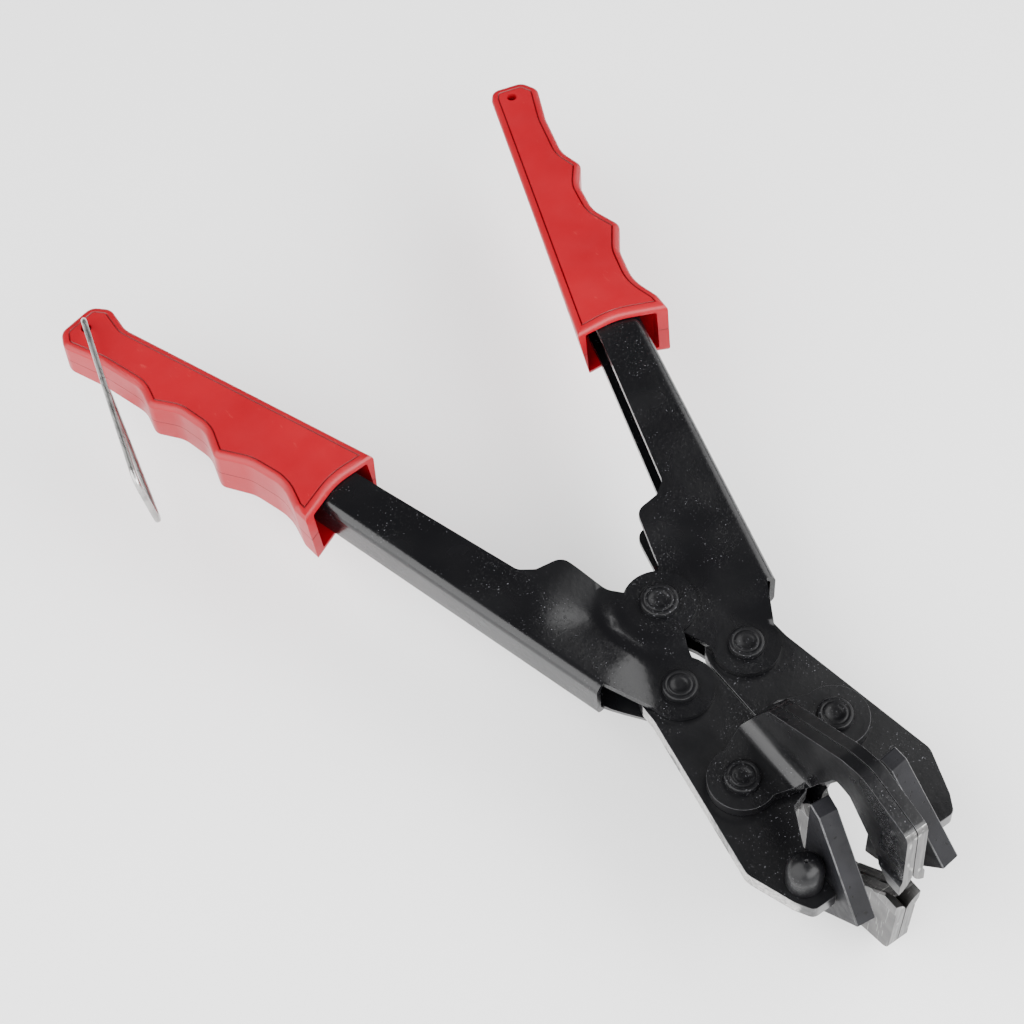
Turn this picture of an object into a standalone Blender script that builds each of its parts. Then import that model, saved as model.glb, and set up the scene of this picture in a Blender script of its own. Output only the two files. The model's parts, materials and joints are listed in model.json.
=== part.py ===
"""Compound-leverage crimping plier with a V-shaped beak, two wedge dies and red hollow grips.

World frame at rest (handles fully open): X across the tool, Y from the beak toward the grips,
Z up through the front face. The mid-plane of the tool is the plane of the jaw plates.
All drawing is done about the main pivot at 0, 0, 0 and the whole tool is then moved so that
its bounding box stands centred on the origin.
"""
import math

import bmesh
import bpy
from mathutils import Matrix, Vector

MM = 0.001

# Running gap between pieces that touch, and the extra play of the pivot that closes the loop
GAP = 0.3 * MM
LOOP_PLAY = 0.5 * MM

# Linkage (right-hand side; the left is its mirror image)
JAW_PIVOT = Vector((19.5, -70.3)) * MM
TAIL_PIVOT = Vector((14.2, -30.0)) * MM
ARM_ANGLE = math.radians(15.3)

# Jaw plates
JAW_THICKNESS = 6.0 * MM
JAW_TAIL_GAP = 0.4 * MM
JAW_BACK = 13.5 * MM
JAW_CHEEK = 19.0 * MM
JAW_NOSE_LENGTH = 49.0 * MM
JAW_THROAT = 14.0 * MM
JAW_TAPER = 2.9 * MM

# Dies: wedge plates on the mouth edges of the jaws
DIE_THICKNESS = 7.1 * MM
DIE_STANDOFF = 10.2 * MM
DIE_SPLAY = math.radians(7.0)
DIE_BACK = 30.4 * MM
DIE_LENGTH = 31.0 * MM
DIE_HALF_HEIGHT = 32.0 * MM
DIE_TOP_LAND = 5.4 * MM
STUD_RADIUS = 6.2 * MM
STUD_SHANK = 4.0 * MM
STUD_HEIGHT = 14.0 * MM
STUD_BACK = 39.0 * MM

# Link brackets: wing sheet that turns up into half of the beak
BRACKET_SHEET = 4.0 * MM
BRACKET_BEND = 6.0 * MM
WING_LOBE = 11.8 * MM
BEAK_ROOT = 17.0 * MM
BEAK_TIP = 61.5 * MM
BEAK_HEIGHT = 46.0 * MM

# Handle channels: bent sheet, arm part and ears
SHEET = 2.0 * MM
ARM_HALF_DEPTH = 8.5 * MM
ARM_BEND = 3.5 * MM
WEB_OFFSET = 41.2 * MM
ARM_WIDTH_HEAD = 21.3 * MM
ARM_WIDTH_GRIP = 18.0 * MM
ARM_LENGTH = 170.0 * MM
WEB_END = -5.0 * MM
EAR_RADIUS = 13.0 * MM
TAIL_LOBE = 11.8 * MM
JOGGLE_MARGIN = 2.2 * MM
JOGGLE_RAMP = 6.0 * MM

# Rivets
MAIN_SHANK = 4.5 * MM
SHANK = 4.0 * MM
HEAD_OVERHANG = 2.2 * MM
HEAD_HEIGHT = 2.0 * MM
SPACER_WALL = 2.5 * MM

# Grips
ARM_IN_GRIP = 51.5 * MM
GRIP_START = ARM_LENGTH - ARM_IN_GRIP
GRIP_LENGTH = 135.5 * MM
GRIP_WALL = 3.0 * MM
GRIP_END_HALF_DEPTH = 7.8 * MM
ARM_TO_GRIP = 0.6 * MM
GRIP_ROUND = 1.6 * MM
GRIP_DRAFT = 3.5 * MM
MOUTH_RAKE = 3.0 * MM
HANG_HOLE = 2.0 * MM
HANG_HOLE_FROM_END = 7.0 * MM
HANG_HOLE_INWARD = 6.2 * MM

# Wire bail
WIRE_RADIUS = 1.2 * MM
BAIL_LENGTH = 82.0 * MM
BAIL_SIDE_ROOM = 6.6 * MM
BAIL_CORNER = 5.0 * MM
BAIL_ANGLE = math.radians(31.0)
BAIL_BUTT_GAP = 0.4 * MM
BAIL_LEAN = 4.0 * MM

# Levels of the layers about the mid-plane
JAW_FACE = JAW_THICKNESS / 2
EAR_INNER = JAW_FACE + GAP
EAR_OUTER = EAR_INNER + SHEET
JOGGLE_OUTER = EAR_OUTER + GAP + SHEET
WING_OUTER = EAR_INNER + BRACKET_SHEET
GRIP_HALF_DEPTH = ARM_HALF_DEPTH + ARM_TO_GRIP + GRIP_WALL

COLLECTION = "compound_crimping_plier"
FINISHES = {
    "black_enamel": ((0.012, 0.012, 0.013, 1.0), 0.25, 0.0),
    "bright_steel": ((0.62, 0.62, 0.64, 1.0), 0.3, 1.0),
    "die_steel": ((0.05, 0.05, 0.055, 1.0), 0.45, 0.6),
    "red_plastic": ((0.62, 0.03, 0.03, 1.0), 0.38, 0.0),
}


def clear_scene():
    """Remove every object of the open scene."""
    for obj in list(bpy.data.objects):
        bpy.data.objects.remove(obj, do_unlink=True)


def new_collection(name):
    """Make a collection under the scene."""
    group = bpy.data.collections.new(name)
    bpy.context.scene.collection.children.link(group)
    return group


def finish(obj, name):
    """Give an object its own Principled material."""
    colour, roughness, metallic = FINISHES[name]
    material = bpy.data.materials.new(f"{obj.name}_{name}")
    material.use_nodes = True
    shader = material.node_tree.nodes["Principled BSDF"]
    shader.inputs["Base Color"].default_value = colour
    shader.inputs["Roughness"].default_value = roughness
    shader.inputs["Metallic"].default_value = metallic
    material.diffuse_color = colour
    obj.data.materials.clear()
    obj.data.materials.append(material)


def arc(centre, radius, start, end, steps=12):
    """Points on an arc, angles in degrees from +X."""
    turns = [math.radians(start + (end - start) * i / steps) for i in range(steps + 1)]
    return [Vector((centre[0] + radius * math.cos(a), centre[1] + radius * math.sin(a))) for a in turns]


def rounded(points, steps=6, closed=True):
    """Outline through (x, y, radius) corners, each radius a tangent arc; open ends stay as they are."""
    outline = []
    count = len(points)
    for i, (x, y, radius) in enumerate(points):
        corner = Vector((x, y))
        if radius <= 0 or (not closed and i in (0, count - 1)):
            outline.append(corner)
            continue
        before = (Vector(points[i - 1][:2]) - corner).normalized()
        after = (Vector(points[(i + 1) % count][:2]) - corner).normalized()
        half = before.angle(after) / 2
        centre = corner + (before + after).normalized() * (radius / math.sin(half))
        first = corner + before * (radius / math.tan(half)) - centre
        last = corner + after * (radius / math.tan(half)) - centre
        start = math.atan2(first.y, first.x)
        sweep = math.remainder(math.atan2(last.y, last.x) - start, 2 * math.pi)
        turns = [start + sweep * k / steps for k in range(steps + 1)]
        outline += [centre + radius * Vector((math.cos(a), math.sin(a))) for a in turns]
    return outline


def mesh_object(name, mesh, group):
    """Link a mesh as a new object."""
    obj = bpy.data.objects.new(name, mesh)
    group.objects.link(obj)
    return obj


def evaluated_mesh(obj):
    """Mesh of an object with its modifiers, welded; the object is removed."""
    graph = bpy.context.evaluated_depsgraph_get()
    mesh = bpy.data.meshes.new_from_object(obj.evaluated_get(graph))
    work = bmesh.new()
    work.from_mesh(mesh)
    bmesh.ops.remove_doubles(work, verts=work.verts, dist=1e-7)
    work.to_mesh(mesh)
    work.free()
    bpy.data.objects.remove(obj, do_unlink=True)
    return mesh


def plate(name, outline, low, high, group, turn=None):
    """Flat outline as a filled 2D curve, thick from low to high, then turned."""
    curve = bpy.data.curves.new(name, "CURVE")
    curve.dimensions = "2D"
    curve.fill_mode = "BOTH"
    curve.extrude = (high - low) / 2
    spline = curve.splines.new("POLY")
    spline.points.add(len(outline) - 1)
    for point, place in zip(spline.points, outline):
        point.co = (place[0], place[1], 0.0, 1.0)
    spline.use_cyclic_u = True
    flat = bpy.data.objects.new(name + "_outline", curve)
    group.objects.link(flat)
    mesh = evaluated_mesh(flat)
    mesh.transform(Matrix.Translation((0, 0, (low + high) / 2)))
    if turn is not None:
        mesh.transform(turn)
    return mesh_object(name, mesh, group)


# Turns an outline drawn in (Y, Z) with its thickness along X into place
SIDE_VIEW = Matrix(((0, 0, 1, 0), (1, 0, 0, 0), (0, 1, 0, 0), (0, 0, 0, 1)))
# Turns an outline drawn in (Z, X) with its thickness along Y into place
END_VIEW = Matrix(((0, 1, 0, 0), (0, 0, 1, 0), (1, 0, 0, 0), (0, 0, 0, 1)))


def boolean(obj, other, operation, cutters):
    """Add an exact Boolean and put the other object away among the cutters."""
    modifier = obj.modifiers.new(operation.lower() + "_" + other.name, "BOOLEAN")
    modifier.operation = operation
    modifier.solver = "EXACT"
    modifier.object = other
    for group in list(other.users_collection):
        group.objects.unlink(other)
    cutters.objects.link(other)
    other.hide_render = True
    other.display_type = "WIRE"


def hole(name, centre, radius, reach, cutters, sides=32):
    """Round cutter along Z through centre."""
    work = bmesh.new()
    bmesh.ops.create_cone(work, cap_ends=True, segments=sides, radius1=radius, radius2=radius,
                          depth=2 * reach, matrix=Matrix.Translation((centre[0], centre[1], 0)))
    mesh = bpy.data.meshes.new(name)
    work.to_mesh(mesh)
    work.free()
    return mesh_object(name, mesh, cutters)


def apply_all(obj, group):
    """Replace an object by its evaluated mesh, in the same group."""
    name = obj.name
    obj.name = name + "_raw"
    return mesh_object(name, evaluated_mesh(obj), group)


def mirrored(mesh):
    """Mirror a mesh to the left side, faces still pointing out."""
    mesh.transform(Matrix.Scale(-1, 4, Vector((1, 0, 0))))
    mesh.flip_normals()


def smooth(obj, degrees=35.0):
    """Shade round faces smooth and keep edges sharper than the angle."""
    obj.data.shade_smooth()
    obj.data.set_sharp_from_angle(angle=math.radians(degrees))


def turned(name, profile, group, steps=32):
    """Solid of revolution about Z from a profile of (radius, height), top to bottom."""
    mesh = bpy.data.meshes.new(name)
    mesh.from_pydata([(r, 0, z) for r, z in profile], [(i, i + 1) for i in range(len(profile) - 1)], [])
    obj = mesh_object(name, mesh, group)
    screw = obj.modifiers.new("screw", "SCREW")
    screw.axis = "Z"
    screw.steps = steps
    screw.render_steps = steps
    screw.use_merge_vertices = True
    screw.merge_threshold = 1e-6
    return apply_all(obj, group)


def rivet(name, centre, shank, face, group):
    """Riveted pin with a low dished head beyond each face at +-face."""
    seat = face + GAP
    head = shank + HEAD_OVERHANG
    top = seat + HEAD_HEIGHT
    half = [(0.0, top - 0.25 * HEAD_HEIGHT), (0.45 * shank, top - 0.25 * HEAD_HEIGHT), (0.75 * shank, top),
            (shank, top), (head - 0.35 * HEAD_HEIGHT, top - 0.3 * HEAD_HEIGHT),
            (head, seat + 0.25 * HEAD_HEIGHT), (head, seat), (shank, seat)]
    profile = half + [(r, -z) for r, z in reversed(half)]
    obj = turned(name, profile, group)
    obj.data.transform(Matrix.Translation((centre[0], centre[1], 0)))
    smooth(obj)
    finish(obj, "black_enamel")
    return obj


def jaw(side, group, cutters):
    """Flat jaw plate: round tail, cheek over the jaw pivot and nose beside the mouth."""
    px, py = JAW_PIVOT
    cx, cy = TAIL_PIVOT
    inner = JAW_TAIL_GAP / 2
    tail = cx - inner
    nose = py - JAW_NOSE_LENGTH
    die_x = DIE_STANDOFF + DIE_THICKNESS / math.cos(DIE_SPLAY) + GAP
    die_y = py - DIE_BACK
    mouth_x = die_x + (die_y - nose) * math.tan(DIE_SPLAY)
    throat = py - JAW_THROAT
    corners = rounded([
        (cx + tail, cy - 4 * MM, 0.0),
        (px + JAW_CHEEK, py - 0.54 * JAW_NOSE_LENGTH, 6 * MM),
        (px + JAW_BACK - 0.5 * MM, nose + 6 * MM, 5 * MM),
        (px + JAW_BACK - 4 * MM, nose, 3 * MM),
        (mouth_x, nose, 1.0 * MM),
        (die_x, die_y + 1.0 * MM, 0.0),
        (die_x - 5.0 * MM, throat - 6 * MM, 2 * MM),
        (px - 8.5 * MM, throat - 2.5 * MM, 2 * MM),
        (inner + JAW_TAPER, throat, 2 * MM),
        (inner, py + 0.3 * JAW_THROAT, 0.0),
    ], closed=False)
    outline = arc((cx, cy), tail, 180, 10, 20) + corners
    obj = plate(f"jaw_{side}", outline, -JAW_FACE, JAW_FACE, group)
    reach = JAW_THICKNESS
    bores = [("pivot", JAW_PIVOT, SHANK), ("tail", TAIL_PIVOT, SHANK)]
    if side == "left":
        bores.append(("stud", stud_place(), STUD_SHANK))
    for label, centre, radius in bores:
        cutter = hole(f"jaw_{side}_{label}_bore", centre, radius + GAP, reach, cutters)
        boolean(obj, cutter, "DIFFERENCE", cutters)
    obj = apply_all(obj, group)
    if side == "left":
        mirrored(obj.data)
    finish(obj, "black_enamel")
    return obj


def stud_place():
    """Centre of the die stud, beside the outer face of the die."""
    y = JAW_PIVOT.y - STUD_BACK
    drop = STUD_BACK - DIE_BACK
    face = DIE_STANDOFF + DIE_THICKNESS / math.cos(DIE_SPLAY) + drop * math.tan(DIE_SPLAY)
    return Vector((face + (STUD_RADIUS + 2 * GAP) / math.cos(DIE_SPLAY), y))


def die(side, group):
    """Wedge plate whose V edge points to the beak tip."""
    length = DIE_LENGTH / math.cos(DIE_SPLAY)
    half = [(-DIE_TOP_LAND, DIE_HALF_HEIGHT - 1.2 * MM), (0.0, DIE_HALF_HEIGHT)]
    outline = [(-length, 0.0)] + half + [(y, -z) for y, z in reversed(half)]
    obj = plate(f"die_{side}", outline, 0.0, DIE_THICKNESS, group, SIDE_VIEW)
    bevel = obj.modifiers.new("edge", "BEVEL")
    bevel.width = 0.4 * MM
    bevel.segments = 1
    bevel.limit_method = "ANGLE"
    place = Matrix.Translation((DIE_STANDOFF, JAW_PIVOT.y - DIE_BACK, 0))
    obj = apply_all(obj, group)
    obj.data.transform(place @ Matrix.Rotation(DIE_SPLAY, 4, "Z"))
    if side == "left":
        mirrored(obj.data)
    finish(obj, "die_steel")
    return obj


def die_stud(group):
    """Round-headed stud on the front of the left jaw, its shank flush with the rear."""
    seat = JAW_FACE + GAP
    flat = JAW_FACE + STUD_HEIGHT - STUD_RADIUS
    dome = [(STUD_RADIUS * math.sin(math.radians(a)), flat + STUD_RADIUS * math.cos(math.radians(a)))
            for a in range(0, 91, 15)]
    profile = dome + [(STUD_RADIUS, seat), (STUD_SHANK, seat), (STUD_SHANK, -JAW_FACE), (0.0, -JAW_FACE)]
    obj = turned("die_stud", profile, group, 24)
    centre = stud_place()
    obj.data.transform(Matrix.Translation((-centre.x, centre.y, 0)))
    smooth(obj)
    finish(obj, "black_enamel")
    return obj


def beak_side_outline():
    """Side view of the front bracket in (Y, Z): wing strip, beak and V window."""
    root = JAW_PIVOT.y + BEAK_ROOT
    tip = JAW_PIVOT.y - BEAK_TIP
    throat = JAW_PIVOT.y - JAW_THROAT
    top = BEAK_HEIGHT
    return rounded([
        (root, 0.5 * MM, 0),
        (root, EAR_INNER + 2 * MM, 0),
        (root - 10 * MM, top - 21 * MM, 4 * MM),
        (tip + 34 * MM, top - 2.5 * MM, 14 * MM),
        (tip + 24 * MM, top + 0.5 * MM, 12 * MM),
        (tip + 1.5 * MM, top - 6.5 * MM, 4 * MM),
        (tip, GAP / 2, 0),
        (tip + 1.4 * MM, GAP / 2, 0),
        (tip + 28 * MM, top - 18 * MM, 1.5 * MM),
        (tip + 35 * MM, top - 17.5 * MM, 3 * MM),
        (throat - 1 * MM, WING_OUTER - 1 * MM, 2 * MM),
        (throat, 0.5 * MM, 0),
    ])


def wing_plan_outline():
    """Plan of the right-hand bracket in (X, Y): beak strip, wing and lobe."""
    px, py = JAW_PIVOT
    seam = GAP / 2
    root = py + BEAK_ROOT
    tip = py - BEAK_TIP
    throat = py - JAW_THROAT
    strip = seam + BRACKET_SHEET + 1 * MM
    return ([Vector((seam - 1 * MM, tip - 1 * MM)), Vector((strip, tip - 1 * MM)), Vector((strip, throat)),
             Vector((strip + 3 * MM, throat + 1 * MM))]
            + arc((px, py), WING_LOBE, -112, 98, 22)
            + [Vector((strip + 4 * MM, root - 1.6 * MM)), Vector((seam - 1 * MM, root + 1 * MM))])


def bracket(face, side, group, cutters):
    """Sheet wing over the jaw pivot that turns up into one half of the beak."""
    seam = GAP / 2
    wall = seam + BRACKET_SHEET
    centre = (WING_OUTER + BRACKET_BEND, wall + BRACKET_BEND)
    outside = BRACKET_BEND + BRACKET_SHEET
    far_x = JAW_PIVOT.x + 2 * WING_LOBE
    far_z = 2 * BEAK_HEIGHT
    section = ([Vector((EAR_INNER, far_x)), Vector((WING_OUTER, far_x))]
               + arc(centre, BRACKET_BEND, 180, 270, 6)
               + [Vector((far_z, wall)), Vector((far_z, seam))]
               + arc(centre, outside, 270, 180, 8))
    name = f"bracket_{face}_{side}"
    tip = JAW_PIVOT.y - BEAK_TIP - 2 * MM
    obj = plate(name, section, tip, JAW_PIVOT.y + BEAK_ROOT + 2 * MM, group, END_VIEW)
    reach = JAW_PIVOT.x + 3 * WING_LOBE
    view = plate(name + "_side", beak_side_outline(), -2 * MM, reach, cutters, SIDE_VIEW)
    plan = plate(name + "_plan", wing_plan_outline(), -2 * MM, far_z + 2 * MM, cutters)
    boolean(obj, view, "INTERSECT", cutters)
    boolean(obj, plan, "INTERSECT", cutters)
    boolean(obj, hole(name + "_bore", JAW_PIVOT, SHANK + GAP, far_z, cutters), "DIFFERENCE", cutters)
    obj = apply_all(obj, group)
    if side == "left":
        mirrored(obj.data)
    if face == "rear":
        obj.data.transform(Matrix.Scale(-1, 4, Vector((0, 0, 1))))
        obj.data.flip_normals()
    smooth(obj, 30)
    finish(obj, "black_enamel" if face == "front" else "bright_steel")
    return obj


def arm_frame():
    """Matrix from arm coordinates (outward, along, up) to the tool, right-hand side."""
    return Matrix.Rotation(-ARM_ANGLE, 4, "Z")


def in_arm(point):
    """A linkage point in arm coordinates."""
    turned_back = Matrix.Rotation(ARM_ANGLE, 2) @ Vector(point[:2])
    return turned_back


def smoothstep(value):
    """Clamped smooth ramp from 0 to 1."""
    t = min(max(value, 0.0), 1.0)
    return t * t * (3 - 2 * t)


def flange_height(u, v, joggled):
    """Outer level of a flange: full depth at the web, pinched to the jaw tail at the ears."""
    web = WEB_OFFSET - ARM_BEND
    along = smoothstep((36 * MM - v) / (21 * MM))
    across = smoothstep((web - u + 0.8 * max(0.0, WEB_END - v)) / (22 * MM))
    level = ARM_HALF_DEPTH + (EAR_OUTER - ARM_HALF_DEPTH) * along * across
    if joggled:
        away = math.hypot(u, v) - EAR_RADIUS - JOGGLE_MARGIN
        level += (SHEET + GAP) * smoothstep(1 - away / JOGGLE_RAMP) * along * across
    return level


def flange_outline():
    """Flange in arm coordinates: inner edge, hump, ear at the main pivot, tail lobe, web edge."""
    tail = in_arm(TAIL_PIVOT)
    web = WEB_OFFSET - ARM_BEND
    head_edge = WEB_OFFSET - ARM_WIDTH_HEAD
    grip_edge = WEB_OFFSET - ARM_WIDTH_GRIP
    corners = rounded([
        (web, ARM_LENGTH, 0),
        (grip_edge, ARM_LENGTH, 0),
        (grip_edge, GRIP_START, 0),
        (head_edge, 47 * MM, 4 * MM),
        (head_edge - 4 * MM, 42 * MM, 3 * MM),
        (6.5 * MM, 38 * MM, 5 * MM),
        (6.0 * MM, 16 * MM, 0),
    ], closed=False)
    return (corners + arc((0, 0), EAR_RADIUS, 70, 285, 22) + [Vector((7.2 * MM, -17.2 * MM))]
            + arc(tail, TAIL_LOBE, 165, 372, 20) + [Vector((web, WEB_END))])


def channel(side, group, cutters):
    """Bent sheet channel: web outside, two flanges that run into ears at the pivots."""
    web = WEB_OFFSET - ARM_BEND
    work = bmesh.new()
    ring = [work.verts.new((p[0], p[1], 0.0)) for p in flange_outline()]
    work.faces.new(ring)
    bmesh.ops.triangulate(work, faces=work.faces[:])
    cuts = [((0, v * MM, 0), (0, 1, 0)) for v in (-30, -24, -19, -16, -13, -10, -5, 0, 5, 10, 13, 16, 19, 24, 30, 36)]
    cuts += [((u * MM, 0, 0), (1, 0, 0)) for u in (-14, -10, -5, 0, 5, 10, 13, 16, 19, 23, 28, 33)]
    for place, normal in cuts:
        geometry = work.verts[:] + work.edges[:] + work.faces[:]
        bmesh.ops.bisect_plane(work, geom=geometry, dist=1e-6, plane_co=place, plane_no=normal)
    bmesh.ops.remove_doubles(work, verts=work.verts, dist=1e-6)
    bmesh.ops.dissolve_degenerate(work, edges=work.edges[:], dist=1e-5)
    for vert in work.verts:
        vert.co.z = flange_height(vert.co.x, vert.co.y, side == "left")
    edge = [e for e in work.edges if e.is_boundary and all(abs(v.co.x - web) < 1e-6 for v in e.verts)]
    centre_z = ARM_HALF_DEPTH - ARM_BEND
    steps = 5
    for i in range(1, steps + 2):
        made = bmesh.ops.extrude_edge_only(work, edges=edge)["geom"]
        edge = [g for g in made if isinstance(g, bmesh.types.BMEdge)]
        turn = math.pi / 2 * min(i, steps) / steps
        for vert in {v for e in edge for v in e.verts}:
            vert.co.x = web + ARM_BEND * math.sin(turn)
            vert.co.z = centre_z + ARM_BEND * math.cos(turn) if i <= steps else 0.0
    bmesh.ops.recalc_face_normals(work, faces=work.faces[:])
    if sum(f.normal.z for f in work.faces) < 0:
        bmesh.ops.reverse_faces(work, faces=work.faces[:])
    name = f"handle_channel_{side}"
    mesh = bpy.data.meshes.new(name)
    work.to_mesh(mesh)
    work.free()
    obj = mesh_object(name, mesh, group)
    mirror = obj.modifiers.new("rear_flange", "MIRROR")
    mirror.use_axis = (False, False, True)
    mirror.merge_threshold = 1e-6
    wall = obj.modifiers.new("sheet", "SOLIDIFY")
    wall.thickness = SHEET
    wall.offset = -1
    play = LOOP_PLAY if side == "right" else 0.0
    reach = 2 * ARM_HALF_DEPTH
    bores = (("main", (0, 0), MAIN_SHANK + GAP + play), ("tail", in_arm(TAIL_PIVOT), SHANK + GAP))
    for label, centre, radius in bores:
        cutter = hole(f"{name}_{label}_bore", centre, radius, reach, cutters)
        boolean(obj, cutter, "DIFFERENCE", cutters)
    obj = apply_all(obj, group)
    obj.data.transform(arm_frame())
    if side == "left":
        mirrored(obj.data)
    smooth(obj)
    finish(obj, "black_enamel")
    return obj


def grip_outline(knob):
    """Grip in arm coordinates: straight inner edge, finger scallops outside, blunt end."""
    start = GRIP_START
    end = GRIP_START + GRIP_LENGTH
    inner = WEB_OFFSET - 26.5 * MM
    end_inner = WEB_OFFSET - 14.0 * MM
    outer = WEB_OFFSET + 3.6 * MM
    unit = GRIP_LENGTH / 135.5
    points = [
        (outer + 6.2 * MM, start, 1.5 * MM),
        (outer + 5.0 * MM, start + 7 * unit, 4 * MM),
        (outer - 0.6 * MM, start + 18 * unit, 20 * MM),
        (outer + 0.2 * MM, start + 34 * unit, 16 * MM),
        (outer + 4.9 * MM, start + 46.5 * unit, 2.5 * MM),
        (outer - 1.6 * MM, start + 58 * unit, 14 * MM),
        (outer - 1.8 * MM, start + 72 * unit, 12 * MM),
        (outer + 2.6 * MM, start + 82.5 * unit, 2.5 * MM),
        (outer - 1.8 * MM, start + 92 * unit, 14 * MM),
        (outer - 1.2 * MM, start + 112 * unit, 20 * MM),
        (outer + 1.7 * MM, end - 6 * MM, 5 * MM),
        (outer - 3.0 * MM, end, 5 * MM),
    ]
    if knob:
        points += [
            (end_inner - 1.5 * MM, end, 5 * MM),
            (end_inner - 5.5 * MM, end - 7 * MM, 5 * MM),
            (end_inner - 1.5 * MM, end - 19 * MM, 10 * MM),
        ]
    else:
        points += [
            (end_inner + 1.5 * MM, end, 4 * MM),
            (end_inner - 0.5 * MM, end - 5 * MM, 4 * MM),
        ]
    points.append((inner, start, 1.5 * MM))
    return rounded(points, 5)


def soft_slab(name, outline, half_depth, radius):
    """Slab about the mid-plane whose front and rear rims are rounded."""
    work = bmesh.new()
    face = work.faces.new([work.verts.new((p[0], p[1], -half_depth)) for p in outline])
    moved = bmesh.ops.extrude_face_region(work, geom=[face])["geom"]
    bmesh.ops.translate(work, verts=[g for g in moved if isinstance(g, bmesh.types.BMVert)],
                        vec=(0, 0, 2 * half_depth))
    bmesh.ops.recalc_face_normals(work, faces=work.faces[:])
    rims = [e for e in work.edges if abs(e.verts[0].co.z - e.verts[1].co.z) < half_depth]
    bmesh.ops.bevel(work, geom=rims, offset=radius, segments=2, profile=0.5, affect="EDGES", clamp_overlap=True)
    bmesh.ops.remove_doubles(work, verts=work.verts, dist=1e-6)
    mesh = bpy.data.meshes.new(name)
    work.to_mesh(mesh)
    work.free()
    return mesh


def hang_hole_place():
    """Hang hole in arm coordinates."""
    return Vector((WEB_OFFSET - HANG_HOLE_INWARD, GRIP_START + GRIP_LENGTH - HANG_HOLE_FROM_END))


def grip(side, group, cutters):
    """Moulded grip, hollow from the mouth over the end of the arm."""
    name = f"grip_{side}"
    obj = mesh_object(name, soft_slab(name, grip_outline(side == "left"), GRIP_HALF_DEPTH, GRIP_ROUND), group)
    for vert in obj.data.vertices:
        share = (vert.co.y - GRIP_START) / GRIP_LENGTH
        rearward = (1 - vert.co.z / GRIP_HALF_DEPTH) / 2
        inner_edge = WEB_OFFSET - 26.5 * MM + 12.5 * MM * share
        inward = min(max(1 - (vert.co.x - inner_edge) / (20 * MM), 0), 1)
        vert.co.x += GRIP_DRAFT * rearward * inward
        vert.co.y -= MOUTH_RAKE * rearward * max(0, 1 - 4 * share)
        vert.co.z *= 1 + (GRIP_END_HALF_DEPTH / GRIP_HALF_DEPTH - 1) * share
    pocket_end = ARM_LENGTH + 1 * MM
    inner = WEB_OFFSET - 26.5 * MM + GRIP_WALL
    outer = WEB_OFFSET + ARM_TO_GRIP
    room = ARM_HALF_DEPTH + ARM_TO_GRIP
    pocket = [(inner, GRIP_START - 6 * MM), (outer + 5.6 * MM, GRIP_START - 6 * MM),
              (outer + 4.6 * MM, GRIP_START + 3 * MM), (outer, GRIP_START + 14 * MM), (outer, pocket_end),
              (WEB_OFFSET - ARM_WIDTH_GRIP - ARM_TO_GRIP, pocket_end),
              (inner + 1.5 * MM, GRIP_START + 16 * MM)]
    boolean(obj, plate(name + "_pocket", pocket, -room, room, cutters), "DIFFERENCE", cutters)
    cutter = hole(name + "_hang_hole", hang_hole_place(), HANG_HOLE, 2 * GRIP_HALF_DEPTH, cutters, 20)
    boolean(obj, cutter, "DIFFERENCE", cutters)
    obj = apply_all(obj, group)
    obj.data.transform(arm_frame())
    if side == "left":
        mirrored(obj.data)
    smooth(obj, 40)
    finish(obj, "red_plastic")
    return obj


def spacer(group):
    """Bush on the main pivot between the ears of the inner channel."""
    bore = MAIN_SHANK + GAP + LOOP_PLAY
    outside = bore + SPACER_WALL
    ring = [(bore, JAW_FACE), (outside, JAW_FACE), (outside, -JAW_FACE), (bore, -JAW_FACE), (bore, JAW_FACE)]
    obj = turned("main_pivot_spacer", ring, group)
    smooth(obj)
    finish(obj, "bright_steel")
    return obj


def bail(group):
    """Bent wire loop: base through the left grip's hang hole, two legs and a cross end."""
    base = (arm_frame() @ hang_hole_place().to_3d()).to_2d()
    base.x = -base.x
    span = GRIP_END_HALF_DEPTH + BAIL_SIDE_ROOM + WIRE_RADIUS
    corners = rounded([(0, -span, BAIL_CORNER), (0, span, BAIL_CORNER), (BAIL_LENGTH, span - 1 * MM, BAIL_CORNER),
                       (BAIL_LENGTH, -span + 1 * MM, BAIL_CORNER)], 6)
    butt = 0.4 * BAIL_LENGTH
    start = Vector((butt + BAIL_BUTT_GAP / 2, span - 0.4 * MM))
    end = Vector((butt - BAIL_BUTT_GAP / 2, span - 0.4 * MM))
    split = next(i for i, p in enumerate(corners) if p.x > butt)
    route = [start] + corners[split:] + corners[:split] + [end]
    curve = bpy.data.curves.new("bail", "CURVE")
    curve.dimensions = "3D"
    curve.bevel_depth = WIRE_RADIUS
    curve.bevel_resolution = 2
    curve.use_fill_caps = True
    spline = curve.splines.new("POLY")
    spline.points.add(len(route) - 1)
    direction = Matrix.Rotation(ARM_ANGLE - BAIL_ANGLE, 2) @ Vector((0, -1))
    sideways = Vector((-direction.y, direction.x))
    for point, place in zip(spline.points, route):
        lean = BAIL_LEAN * (1 - place.y / span) / 2
        flat = base + direction * place.x + sideways * (lean * place.x / BAIL_LENGTH)
        point.co = (flat.x, flat.y, place.y, 1.0)
    wire = bpy.data.objects.new("bail_wire_route", curve)
    group.objects.link(wire)
    obj = mesh_object("bail_wire", evaluated_mesh(wire), group)
    smooth(obj, 60)
    finish(obj, "bright_steel")
    return obj


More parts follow.
